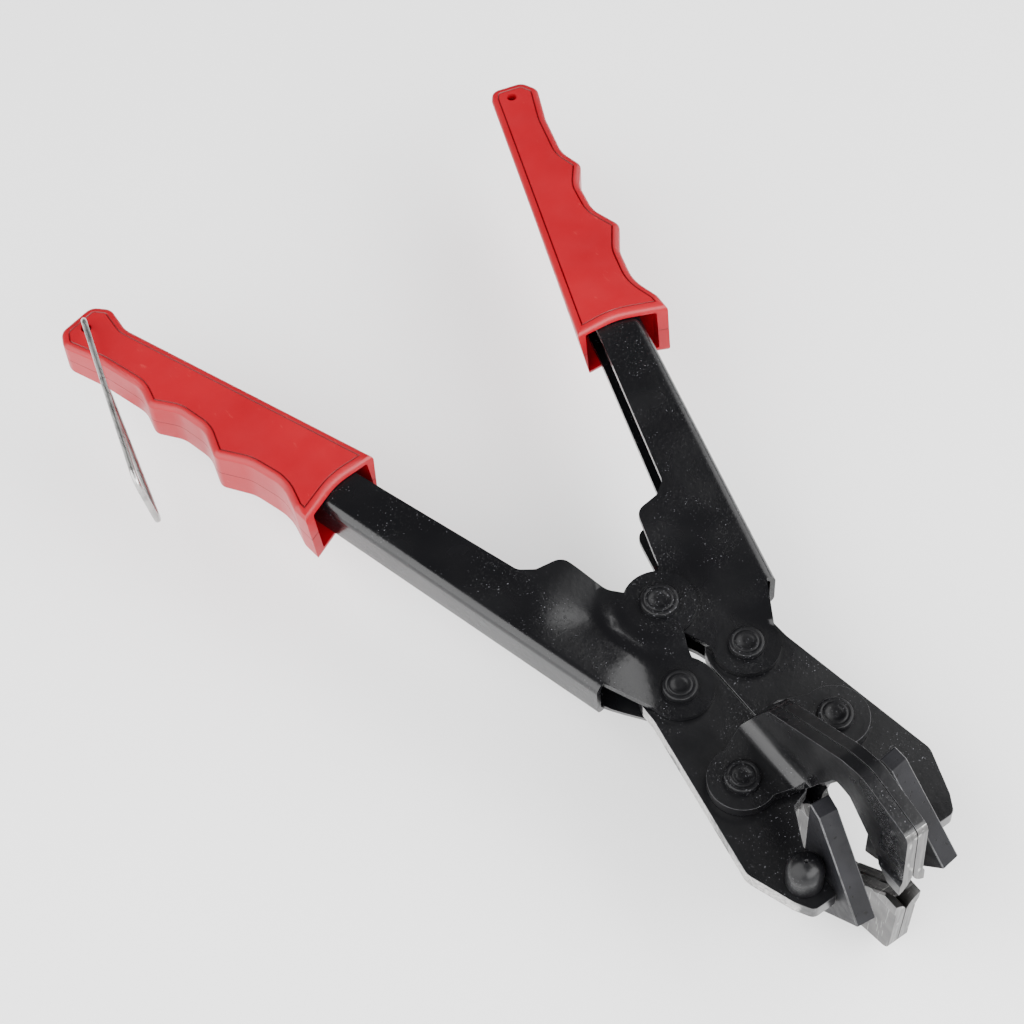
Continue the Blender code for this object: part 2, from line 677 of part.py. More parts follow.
def pivot_empty(name, place, parent, group):
    """Empty on a joint axis, child of another empty; place is in tool coordinates."""
    empty = bpy.data.objects.new(name, None)
    empty.empty_display_size = 10 * MM
    group.objects.link(empty)
    empty.parent = parent
    above = Vector((0, 0, 0))
    walker = parent
    while walker is not None:
        above += walker.location
        walker = walker.parent
    empty.location = Vector((place[0], place[1], 0)) - above
    return empty, Vector((place[0], place[1], 0))


def carry(obj, empty, origin):
    """Hang a piece drawn in tool coordinates on an empty that stands at origin."""
    obj.data.transform(Matrix.Translation(-origin))
    obj.parent = empty


def stand_on_base(root, pieces):
    """Move the tool so that its bounding box stands centred on the world origin."""
    bpy.context.view_layer.update()
    corners = [piece.matrix_world @ vert.co for piece in pieces for vert in piece.data.vertices]
    low = Vector([min(c[i] for c in corners) for i in range(3)])
    high = Vector([max(c[i] for c in corners) for i in range(3)])
    root.location = (-(low.x + high.x) / 2, -(low.y + high.y) / 2, -low.z)


def build():
    """Model every piece and hang it on its pivot."""
    clear_scene()
    group = new_collection(COLLECTION)
    cutters = new_collection("cutters")
    head, head_at = pivot_empty("head_frame", (0, 0), None, group)
    pieces = []
    for side, sign in (("left", -1), ("right", 1)):
        jaw_at = (sign * JAW_PIVOT.x, JAW_PIVOT.y)
        tail_at = (sign * TAIL_PIVOT.x, TAIL_PIVOT.y)
        jaw_empty, jaw_origin = pivot_empty(f"{side}_jaw_axis", jaw_at, head, group)
        arm_empty, arm_origin = pivot_empty(f"{side}_handle_axis", tail_at, jaw_empty, group)
        fixed = [bracket("front", side, group, cutters), bracket("rear", side, group, cutters),
                 rivet(f"jaw_rivet_{side}", jaw_at, SHANK, WING_OUTER, group)]
        swinging = [jaw(side, group, cutters), die(side, group)]
        handle = [channel(side, group, cutters), grip(side, group, cutters),
                  rivet(f"tail_rivet_{side}", tail_at, SHANK, EAR_OUTER, group)]
        if side == "left":
            swinging.append(die_stud(group))
            handle += [rivet("main_pivot_rivet", (0, 0), MAIN_SHANK, JOGGLE_OUTER, group), spacer(group)]
            hole_at = (arm_frame() @ hang_hole_place().to_3d()).to_2d()
            bail_empty, bail_origin = pivot_empty("bail_axis", (-hole_at.x, hole_at.y), arm_empty, group)
            wire = bail(group)
            carry(wire, bail_empty, bail_origin)
            pieces.append(wire)
        for obj in fixed:
            carry(obj, head, head_at)
        for obj in swinging:
            carry(obj, jaw_empty, jaw_origin)
        for obj in handle:
            carry(obj, arm_empty, arm_origin)
        pieces += fixed + swinging + handle
    stand_on_base(head, pieces)


build()
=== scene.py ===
"""Compound-leverage crimping plier: stamped enamel arms, split V beak, wedge dies, red moulded grips.

Every piece is drawn about the tool's main pivot, in millimetres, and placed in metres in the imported
model's frame: X across the tool, Y from the beak toward the grips, Z out of the front face.
"""
from __future__ import annotations

import json
import logging
import math
from dataclasses import dataclass, field
from enum import Enum, IntEnum
from typing import Callable, Iterable, Sequence

import bmesh
import bpy
from bpy.types import Material, NodeSocket, Object
from mathutils import Euler, Matrix, Vector


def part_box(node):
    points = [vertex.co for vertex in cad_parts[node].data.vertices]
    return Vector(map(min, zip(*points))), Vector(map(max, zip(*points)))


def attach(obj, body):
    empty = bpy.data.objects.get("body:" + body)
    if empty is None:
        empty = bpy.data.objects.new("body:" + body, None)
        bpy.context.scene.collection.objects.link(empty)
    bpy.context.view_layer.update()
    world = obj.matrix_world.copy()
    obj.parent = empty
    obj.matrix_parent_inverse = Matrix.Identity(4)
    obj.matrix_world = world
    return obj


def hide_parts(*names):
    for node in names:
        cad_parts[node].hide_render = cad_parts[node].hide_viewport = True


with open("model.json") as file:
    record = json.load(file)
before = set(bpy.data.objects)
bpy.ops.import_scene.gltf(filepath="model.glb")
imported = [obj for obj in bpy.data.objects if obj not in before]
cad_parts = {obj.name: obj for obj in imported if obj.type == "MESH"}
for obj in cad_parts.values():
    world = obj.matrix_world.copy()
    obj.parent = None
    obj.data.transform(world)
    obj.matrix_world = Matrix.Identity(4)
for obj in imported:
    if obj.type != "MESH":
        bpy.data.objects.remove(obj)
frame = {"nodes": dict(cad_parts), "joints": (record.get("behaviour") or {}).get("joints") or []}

LOG = logging.getLogger("plier")
MM = 0.001
DRILL_DEPTH = 60 * MM

Point = tuple[float, float]
Corner = tuple[float, float, float]
Colour = tuple[float, float, float]


class Side(Enum):
    """Which half of the tool a piece belongs to."""

    LEFT = "left"
    RIGHT = "right"

    @property
    def sign(self) -> int:
        """-1 on the left, +1 on the right."""
        return -1 if self is Side.LEFT else 1


class Face(Enum):
    """Which face of the tool a bracket lies on."""

    FRONT = "front"
    REAR = "rear"


class Coat(IntEnum):
    """Which of a piece's finishes a face wears."""

    SKIN = 0
    # EDGE: worn bare edges on the sheets; on the grips, the darker red painted shade of the groove and
    # parting line.
    EDGE = 1
    BARE = 2


# ---------------------------------------------------------------------------------------------------
# Workbench: thin wrappers round the modelling operators
# ---------------------------------------------------------------------------------------------------


def pivot_place() -> Vector:
    """Centre of the main pivot in the model's frame, in metres."""
    low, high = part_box("main_pivot_rivet")
    return (low + high) / 2


def deselect_all() -> None:
    """Deselect every object."""
    bpy.ops.object.select_all(action="DESELECT")


def take_up(obj: Object) -> None:
    """Make one object the only selected and the active one."""
    deselect_all()
    obj.select_set(True)
    bpy.context.view_layer.objects.active = obj


def last_added(name: str) -> Object:
    """Name the primitive that was just added and its mesh.

    Args:
        name: name of the piece.

    Returns:
        The object.
    """
    obj = bpy.context.object
    obj.name = name
    obj.data.name = name
    return obj


def open_edit(obj: Object, mode: str = "FACE") -> None:
    """Open an object in edit mode with nothing selected.

    Args:
        obj: object to open.
        mode: VERT, EDGE or FACE.
    """
    take_up(obj)
    bpy.ops.object.mode_set(mode="EDIT")
    bpy.ops.mesh.select_mode(type=mode)
    bpy.ops.mesh.select_all(action="DESELECT")


def close_edit() -> None:
    """Leave edit mode."""
    bpy.ops.object.mode_set(mode="OBJECT")


def select_faces(obj: Object, wanted: Callable[[bmesh.types.BMFace], bool]) -> None:
    """Select the faces of the open object that pass a test.

    Args:
        obj: object in edit mode.
        wanted: test of one face.
    """
    work = bmesh.from_edit_mesh(obj.data)
    work.normal_update()
    for face in work.faces:
        face.select_set(wanted(face))
    work.select_flush_mode()
    bmesh.update_edit_mesh(obj.data)


def select_edges(obj: Object, wanted: Callable[[bmesh.types.BMEdge], bool]) -> None:
    """Select the edges of the open object that pass a test.

    Args:
        obj: object in edit mode.
        wanted: test of one edge.
    """
    work = bmesh.from_edit_mesh(obj.data)
    for edge in work.edges:
        edge.select_set(wanted(edge))
    bmesh.update_edit_mesh(obj.data)


def with_modifier(obj: Object, kind: str, **settings: object) -> None:
    """Add a modifier, set it and apply it.

    Args:
        obj: object that gets it.
        kind: Blender's modifier type.
        settings: its properties.
    """
    take_up(obj)
    modifier = obj.modifiers.new(kind.lower(), kind)
    for key, value in settings.items():
        setattr(modifier, key, value)
    bpy.ops.object.modifier_apply(modifier=modifier.name)


def soften(obj: Object, width: float, segments: int, degrees: float, **settings: object) -> None:
    """Round the edges of a piece that are sharper than an angle.

    Args:
        obj: piece to soften.
        width: width of the rounding in millimetres.
        segments: strips across it.
        degrees: edges sharper than this are rounded.
        settings: further properties of the modifier.
    """
    with_modifier(obj, "BEVEL", width=width * MM, segments=segments, limit_method="ANGLE",
                  angle_limit=math.radians(degrees), **settings)


def cut_out(obj: Object, tool: Object) -> None:
    """Subtract a tool from a piece and throw the tool away.

    Args:
        obj: piece that is cut.
        tool: closed solid to take away.
    """
    with_modifier(obj, "BOOLEAN", operation="DIFFERENCE", solver="EXACT", object=tool)
    bpy.data.objects.remove(tool, do_unlink=True)


def shade(obj: Object, degrees: float) -> None:
    """Shade smooth below an angle, with flat faces kept flat up to their bevels.

    Args:
        obj: piece to shade.
        degrees: edges sharper than this stay sharp.
    """
    take_up(obj)
    bpy.ops.object.shade_smooth_by_angle(angle=math.radians(degrees))
    with_modifier(obj, "WEIGHTED_NORMAL", keep_sharp=True, weight=60)


def close_seams(obj: Object) -> None:
    """Merge doubled points and turn all faces outward.

    Args:
        obj: piece to close.
    """
    open_edit(obj, "VERT")
    bpy.ops.mesh.select_all(action="SELECT")
    bpy.ops.mesh.remove_doubles(threshold=1e-6)
    bpy.ops.mesh.normals_make_consistent(inside=False)
    close_edit()


def stand(obj: Object, side: Side, turn: float = 0.0) -> None:
    """Bring a piece drawn about the pivot for the right half to its place, and close it.

    Args:
        obj: piece to place.
        side: half it belongs to; the left half is mirrored.
        turn: turn about the pivot in degrees, before the mirroring.
    """
    obj.data.transform(Matrix.Rotation(math.radians(turn), 4, "Z"))
    if side is Side.LEFT:
        obj.data.transform(Matrix.Scale(-1, 4, Vector((1, 0, 0))))
    obj.data.transform(Matrix.Translation(pivot_place()))
    close_seams(obj)


def cylinder(name: str, radius: float, depth: float, place: Sequence[float], sides: int) -> Object:
    """Closed cylinder along Z.

    Args:
        name: name of the piece.
        radius: its radius in metres.
        depth: its height in metres.
        place: its middle, in metres.
        sides: flats round it.

    Returns:
        The cylinder, with its place applied.
    """
    deselect_all()
    bpy.ops.mesh.primitive_cylinder_add(vertices=sides, radius=radius, depth=depth, location=place)
    obj = last_added(name)
    bpy.ops.object.transform_apply(location=True, rotation=True, scale=True)
    return obj


def slab(name: str, outline: Sequence[Point], low: float, high: float) -> Object:
    """Flat slab: a filled ring of points pulled onto an outline, then extruded.

    Args:
        name: name of the piece.
        outline: points in millimetres, in order.
        low: lower level in millimetres.
        high: upper level in millimetres.

    Returns:
        The slab, in metres, about the drawing's origin.
    """
    turning = sum(a[0] * b[1] - b[0] * a[1] for a, b in zip(outline, [*outline[1:], outline[0]]))
    ordered = list(outline) if turning > 0 else list(reversed(outline))
    deselect_all()
    bpy.ops.mesh.primitive_circle_add(vertices=len(ordered), radius=10 * MM, fill_type="NGON")
    obj = last_added(name)
    for vert, (x, y) in zip(obj.data.vertices, ordered):
        vert.co = (x * MM, y * MM, low * MM)
    open_edit(obj)
    bpy.ops.mesh.select_all(action="SELECT")
    bpy.ops.mesh.extrude_region_move(TRANSFORM_OT_translate={"value": (0, 0, (high - low) * MM)})
    bpy.ops.mesh.select_all(action="SELECT")
    bpy.ops.mesh.normals_make_consistent(inside=False)
    close_edit()
    return obj


def ringed(obj: Object, centre: Vector, rings: Iterable[Point], radius: float) -> None:
    """Grow the selected end faces ring by ring, each extruded along its normal and then resized.

    Args:
        obj: object in edit mode with its end faces selected.
        centre: a point on the axis, in metres.
        rings: (radius, rise) of each next ring, in millimetres.
        radius: radius of the selected faces, in millimetres.
    """
    for wide, rise in rings:
        bpy.ops.mesh.extrude_region_shrink_fatten(TRANSFORM_OT_shrink_fatten={"value": rise * MM})
        share = wide / radius
        bpy.ops.transform.resize(value=(share, share, 1), center_override=centre)
        radius = wide


def rounded(corners: Sequence[Corner], steps: int = 6) -> list[Point]:
    """Closed outline through (x, y, radius) corners, each radius a tangent arc.

    Args:
        corners: corners in millimetres.
        steps: straight pieces in each arc.

    Returns:
        The outline's points.
    """
    outline: list[Point] = []
    for i, (x, y, radius) in enumerate(corners):
        corner = Vector((x, y))
        if radius <= 0:
            outline.append((x, y))
            continue
        before = (Vector(corners[i - 1][:2]) - corner).normalized()
        after = (Vector(corners[(i + 1) % len(corners)][:2]) - corner).normalized()
        half = before.angle(after) / 2
        centre = corner + (before + after).normalized() * (radius / math.sin(half))
        first = corner + before * (radius / math.tan(half)) - centre
        last = corner + after * (radius / math.tan(half)) - centre
        start = math.atan2(first.y, first.x)
        sweep = math.remainder(math.atan2(last.y, last.x) - start, 2 * math.pi)
        for k in range(steps + 1):
            turn = start + sweep * k / steps
            outline.append((centre.x + radius * math.cos(turn), centre.y + radius * math.sin(turn)))
    return outline


def quarter_turn(steps: int) -> list[Point]:
    """Angles before and after each step of a quarter turn, in radians."""
    angles = [math.pi / 2 * k / steps for k in range(steps + 1)]
    return list(zip(angles, angles[1:]))


def smooth_ramp(value: float) -> float:
    """Clamped smooth ramp from 0 to 1."""
    t = min(max(value, 0.0), 1.0)
    return t * t * (3 - 2 * t)


def copy_of_node(node: str, name: str) -> Object:
    """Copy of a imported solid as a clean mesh: points merged, flat triangles joined into faces.

    Args:
        node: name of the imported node.
        name: name of the new piece.

    Returns:
        The copy.
    """
    obj = bpy.data.objects.new(name, frame["nodes"][node].data.copy())
    bpy.context.scene.collection.objects.link(obj)
    obj.data.name = name
    obj.data.materials.clear()
    open_edit(obj, "VERT")
    bpy.ops.mesh.select_all(action="SELECT")
    bpy.ops.mesh.customdata_custom_splitnormals_clear()
    bpy.ops.mesh.remove_doubles(threshold=2e-6)
    bpy.ops.mesh.dissolve_limited(angle_limit=math.radians(0.6))
    close_edit()
    return obj


def settle(obj: Object, body: str, slot: str, *nodes: str) -> None:
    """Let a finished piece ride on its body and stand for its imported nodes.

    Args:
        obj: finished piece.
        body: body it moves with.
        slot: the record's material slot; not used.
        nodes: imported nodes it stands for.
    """
    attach(obj, body)
    if nodes:
        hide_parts(*nodes)
    obj.data.name = obj.name
    LOG.info("%s: %d faces on %s", obj.name, len(obj.data.polygons), body)


# ---------------------------------------------------------------------------------------------------
# Finishes
# ---------------------------------------------------------------------------------------------------


class Shader:
    """A material under construction: its nodes, links and Principled shader."""

    def __init__(self, name: str) -> None:
        """Start a material that reads Object coordinates.

        Args:
            name: name of the material.
        """
        self.material = bpy.data.materials.new(name)
        self.material.use_nodes = True
        self.tree = self.material.node_tree
        self.principled = self.tree.nodes["Principled BSDF"]
        self.place = self.tree.nodes.new("ShaderNodeTexCoord").outputs["Object"]

    def link(self, source: NodeSocket, target: NodeSocket) -> None:
        """Join two sockets."""
        self.tree.links.new(source, target)

    def stretched(self, scale: Vector | Sequence[float], turn: Sequence[float] = (0, 0, 0)) -> NodeSocket:
        """Object coordinates scaled per axis and turned.

        Args:
            scale: scale of X, Y and Z.
            turn: Euler turn in radians.

        Returns:
            The mapped coordinates.
        """
        node = self.tree.nodes.new("ShaderNodeMapping")
        node.inputs["Scale"].default_value = scale
        node.inputs["Rotation"].default_value = turn
        self.link(self.place, node.inputs["Vector"])
        return node.outputs["Vector"]

    def noise(self, scale: float, detail: float = 2.0, rough: float = 0.5,
              place: NodeSocket | None = None) -> NodeSocket:
        """Noise of a number of waves per metre.

        Args:
            scale: waves per metre.
            detail: octaves.
            rough: roughness of the octaves.
            place: coordinates, Object by default.

        Returns:
            The noise's factor.
        """
        node = self.tree.nodes.new("ShaderNodeTexNoise")
        node.inputs["Scale"].default_value = scale
        node.inputs["Detail"].default_value = detail
        node.inputs["Roughness"].default_value = rough
        self.link(place or self.place, node.inputs["Vector"])
        return node.outputs["Fac"]

    def between(self, source: NodeSocket, low: float, high: float, start: float = 0.0,
                end: float = 1.0) -> NodeSocket:
        """Map a factor from low..high to start..end, clamped.

        Args:
            source: factor.
            low: where the ramp starts.
            high: where it ends.
            start: value at low.
            end: value at high.

        Returns:
            The mapped factor.
        """
        node = self.tree.nodes.new("ShaderNodeMapRange")
        for key, value in (("From Min", low), ("From Max", high), ("To Min", start), ("To Max", end)):
            node.inputs[key].default_value = value
        self.link(source, node.inputs["Value"])
        return node.outputs["Result"]

    def combine(self, operation: str, first: NodeSocket, second: NodeSocket) -> NodeSocket:
        """Combine two factors.

        Args:
            operation: the math node's operation.
            first: one factor.
            second: the other one.

        Returns:
            The combined factor.
        """
        node = self.tree.nodes.new("ShaderNodeMath")
        node.operation = operation
        self.link(first, node.inputs[0])
        self.link(second, node.inputs[1])
        return node.outputs[0]

    def product(self, first: NodeSocket, second: NodeSocket) -> NodeSocket:
        """Product of two factors."""
        return self.combine("MULTIPLY", first, second)

    def larger(self, first: NodeSocket, second: NodeSocket) -> NodeSocket:
        """Larger of two factors."""
        return self.combine("MAXIMUM", first, second)

    def mix(self, factor: NodeSocket, first: object, second: object) -> NodeSocket:
        """Mix two colours, each a colour or a socket.

        Args:
            factor: share of the second.
            first: colour where the factor is 0.
            second: colour where it is 1.

        Returns:
            The mixed colour.
        """
        node = self.tree.nodes.new("ShaderNodeMix")
        node.data_type = "RGBA"
        self.link(factor, node.inputs["Factor"])
        for key, value in ((6, first), (7, second)):
            if isinstance(value, NodeSocket):
                self.link(value, node.inputs[key])
            else:
                node.inputs[key].default_value = (*value, 1.0)
        return node.outputs[2]

    def bump(self, height: NodeSocket, depth: float, strength: float = 1.0,
             under: NodeSocket | None = None) -> NodeSocket:
        """Bump of a depth in metres over another bump.

        Args:
            height: factor read as height.
            depth: height of the factor's full range.
            strength: share of the effect.
            under: normal that this one rides on.

        Returns:
            The bumped normal.
        """
        node = self.tree.nodes.new("ShaderNodeBump")
        node.inputs["Distance"].default_value = depth
        node.inputs["Strength"].default_value = strength
        self.link(height, node.inputs["Height"])
        if under is not None:
            self.link(under, node.inputs["Normal"])
        return node.outputs["Normal"]

    def set(self, **values: object) -> None:
        """Set or link the Principled shader's sockets; an underscore in a name stands for a space."""
        for key, value in values.items():
            target = self.principled.inputs[key.replace("_", " ")]
            if isinstance(value, NodeSocket):
                self.link(value, target)
            else:
                target.default_value = value


@dataclass(frozen=True)
class Enamel:
    """Thick dipped enamel with orange peel, dust nibs and worn patches."""

    name: str = "black_enamel"
    colour: Colour = (0.0028, 0.0028, 0.0034)
    nib: Colour = (0.10, 0.10, 0.11)
    shine: float = 0.36
    gloss: float = 0.26
    dull: float = 0.42
    peel: float = 0.00006
    nib_start: float = 0.695

    def material(self) -> Material:
        """Build the material."""
        s = Shader(self.name)
        nibs = s.between(s.noise(1500, 1.0), self.nib_start, self.nib_start + 0.05)
        patchy = s.between(s.noise(55, 2.0), 0.42, 0.6)
        specks = s.product(nibs, patchy)
        pits = s.product(s.between(s.noise(900, 3.0, 0.6), 0.56, 0.7), patchy)
        peel = s.bump(s.noise(420, 2.0), self.peel)
        normal = s.bump(s.larger(specks, pits), self.peel, 0.8, peel)
        s.set(Base_Color=s.mix(specks, self.colour, self.nib),
              Roughness=s.between(s.noise(38, 3.0), 0.35, 0.7, self.gloss, self.dull),
              Normal=normal, Coat_Weight=0.4 * self.shine, Coat_Roughness=0.14, Specular_IOR_Level=self.shine)
        return s.material


@dataclass(frozen=True)
class WornEdge:
    """Sheet edge where enamel has rubbed or never covered the steel."""

    name: str = "worn_edge"
    paint: Colour = (0.012, 0.012, 0.013)
    steel: Colour = (0.46, 0.45, 0.44)
    start: float = 0.40
    soft: float = 0.12

    def material(self) -> Material:
        """Build the material."""
        s = Shader(self.name)
        bare = s.between(s.noise(70, 4.0, 0.65), self.start, self.start + self.soft)
        fine = s.between(s.noise(800, 2.0), 0.3, 0.62, 0.35, 1)
        worn = s.product(bare, fine)
        s.set(Base_Color=s.mix(worn, self.paint, self.steel), Metallic=s.between(worn, 0, 1, 0, 0.85),
              Roughness=s.between(s.noise(500, 2.0), 0.3, 0.7, 0.26, 0.46),
              Normal=s.bump(s.noise(1500, 2.0), 0.00004))
        return s.material


@dataclass(frozen=True)
class GroundSteel:
    """Bare ground steel with grinding streaks, scratches and dark stains."""

    name: str = "ground_steel"
    bright: Colour = (0.11, 0.108, 0.107)
    stain: Colour = (0.035, 0.033, 0.032)
    streaks: Corner = (900.0, 60.0, 60.0)
    scratches: Corner = (260.0, 2400.0, 90.0)
    scratch_colour: Colour = (0.28, 0.28, 0.27)
    stained_from: float = 0.62
    rough: float = 0.28

    def material(self) -> Material:
        """Build the material."""
        s = Shader(self.name)
        streak = s.noise(1.0, 3.0, 0.6, s.stretched(self.streaks))
        scratch = s.noise(1.0, 1.0, 0.5, s.stretched(self.scratches, (0.4, 0.2, 0.7)))
        scratch = s.between(scratch, 0.66, 0.7)
        blotch = s.between(s.noise(210, 4.0, 0.62), self.stained_from, self.stained_from + 0.08)
        dots = s.between(s.noise(620, 1.0), 0.70, 0.73)
        dark = s.larger(blotch, dots)
        tone = s.mix(s.between(streak, 0.3, 0.7), self.bright, tuple(0.62 * c for c in self.bright))
        s.set(Base_Color=s.mix(dark, s.mix(scratch, tone, self.scratch_colour), self.stain),
              Metallic=s.between(dark, 0, 1, 0.95, 0.2),
              Roughness=s.between(streak, 0.3, 0.7, self.rough, self.rough + 0.2),
              Normal=s.bump(scratch, 0.00003, 0.6, s.bump(streak, 0.00002)))
        return s.material


@dataclass(frozen=True)
class DieSteel:
    """Dark satin tool steel with pits and a grey bloom."""

    name: str = "die_steel"
    colour: Colour = (0.004, 0.004, 0.005)
    bloom: Colour = (0.009, 0.009, 0.011)
    pit: Colour = (0.002, 0.002, 0.002)

    def material(self) -> Material:
        """Build the material."""
        s = Shader(self.name)
        pits = s.between(s.noise(520, 1.0), 0.69, 0.72)
        tone = s.mix(s.between(s.noise(60, 3.0), 0.3, 0.7), self.colour, self.bloom)
        grain = s.bump(s.noise(2600, 2.0), 0.00003)
        s.set(Base_Color=s.mix(pits, tone, self.pit), Metallic=0.0, Specular_IOR_Level=0.14,
              Roughness=s.between(s.noise(300, 2.0), 0.3, 0.7, 0.42, 0.56),
              Normal=s.bump(s.between(pits, 0, 1, 1, 0), 0.0001, 0.7, grain))
        return s.material


@dataclass(frozen=True)
class GripPlastic:
    """Satin red moulding with a fine spark-eroded skin, flow marks and small scuffs."""

    name: str = "grip_plastic"
    colour: Colour = (0.29, 0.003, 0.010)
    flow: Colour = (0.25, 0.002, 0.008)
    scuff: Colour = (0.40, 0.03, 0.03)

    def material(self) -> Material:
        """Build the material."""
        s = Shader(self.name)
        flow = s.between(s.noise(24, 3.0), 0.35, 0.65)
        scuff = s.noise(1.0, 2.0, 0.6, s.stretched((500, 160, 500), (0, 0, 0.5)))
        scuff = s.between(scuff, 0.68, 0.75, 0, 0.5)
        skin = s.bump(s.noise(3200, 1.0), 0.00003, 0.6)
        s.set(Base_Color=s.mix(scuff, s.mix(flow, self.colour, self.flow), self.scuff),
              Roughness=s.between(s.noise(90, 3.0), 0.3, 0.7, 0.30, 0.42),
              Normal=s.bump(s.noise(60, 2.0), 0.0002, 0.5, skin),
              Subsurface_Weight=0.04, Subsurface_Radius=(0.004, 0.001, 0.001), Specular_IOR_Level=0.34)
        return s.material


@dataclass(frozen=True)
class WireSteel:
    """Drawn galvanised wire with long streaks and dull blotches."""

    name: str = "wire_steel"
    bright: Colour = (0.40, 0.395, 0.385)
    dull: Colour = (0.24, 0.235, 0.23)

    def material(self) -> Material:
        """Build the material."""
        s = Shader(self.name)
        streak = s.noise(1.0, 3.0, 0.6, s.stretched((1500, 120, 1500), (0, 0, 0.29)))
        blotch = s.between(s.noise(150, 2.0), 0.5, 0.75)
        s.set(Base_Color=s.mix(blotch, self.bright, self.dull), Metallic=0.95,
              Roughness=s.between(streak, 0.3, 0.7, 0.22, 0.4), Normal=s.bump(streak, 0.00002))
        return s.material


@dataclass
class Palette:
    """Every finish of the tool, built once."""

    enamel: Material = field(default_factory=Enamel().material)
    arm_enamel: Material = field(default_factory=Enamel(
        "arm_enamel", gloss=0.2, dull=0.34, nib_start=0.715).material)
    rivet_enamel: Material = field(default_factory=Enamel(
        "rivet_enamel", gloss=0.34, dull=0.5, peel=0.00014, shine=0.2, nib_start=0.68).material)
    worn: Material = field(default_factory=WornEdge().material)
    dim_edge: Material = field(default_factory=WornEdge(
        "dim_edge", steel=(0.10, 0.10, 0.105), start=0.45).material)
    ground: Material = field(default_factory=GroundSteel().material)
    die: Material = field(default_factory=DieSteel().material)
    plastic: Material = field(default_factory=GripPlastic().material)
    # Darker red painted shade for the grips' groove and parting line; the moulding itself is one red.
    seam: Material = field(default_factory=GripPlastic(
        "grip_groove_shade", (0.13, 0.002, 0.004), (0.10, 0.002, 0.003), (0.2, 0.01, 0.01)).material)
    wire: Material = field(default_factory=WireSteel().material)


# ---------------------------------------------------------------------------------------------------
# Sub-assemblies
# ---------------------------------------------------------------------------------------------------


@dataclass
class SheetPart:
    """Pressed sheet piece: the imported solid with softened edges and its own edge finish."""

    node: str
    body: str
    slot: str
    skin: Material
    edge: Material
    soft: float = 0.35
    segments: int = 2
    sharp: float = 32.0

    def build(self) -> Object:
        """Copy the solid, soften its edges and dress it.

        Returns:
            The finished piece.
        """
        obj = copy_of_node(self.node, self.node + "_sheet")
        obj.data.materials.append(self.skin)
        obj.data.materials.append(self.edge)
        soften(obj, self.soft, self.segments, self.sharp, material=Coat.EDGE, use_clamp_overlap=True)
        self.dress(obj)
        shade(obj, 40)
        settle(obj, self.body, self.slot, self.node)
        return obj

    def dress(self, obj: Object) -> None:
        """Give single faces another finish; a plain sheet part has none."""


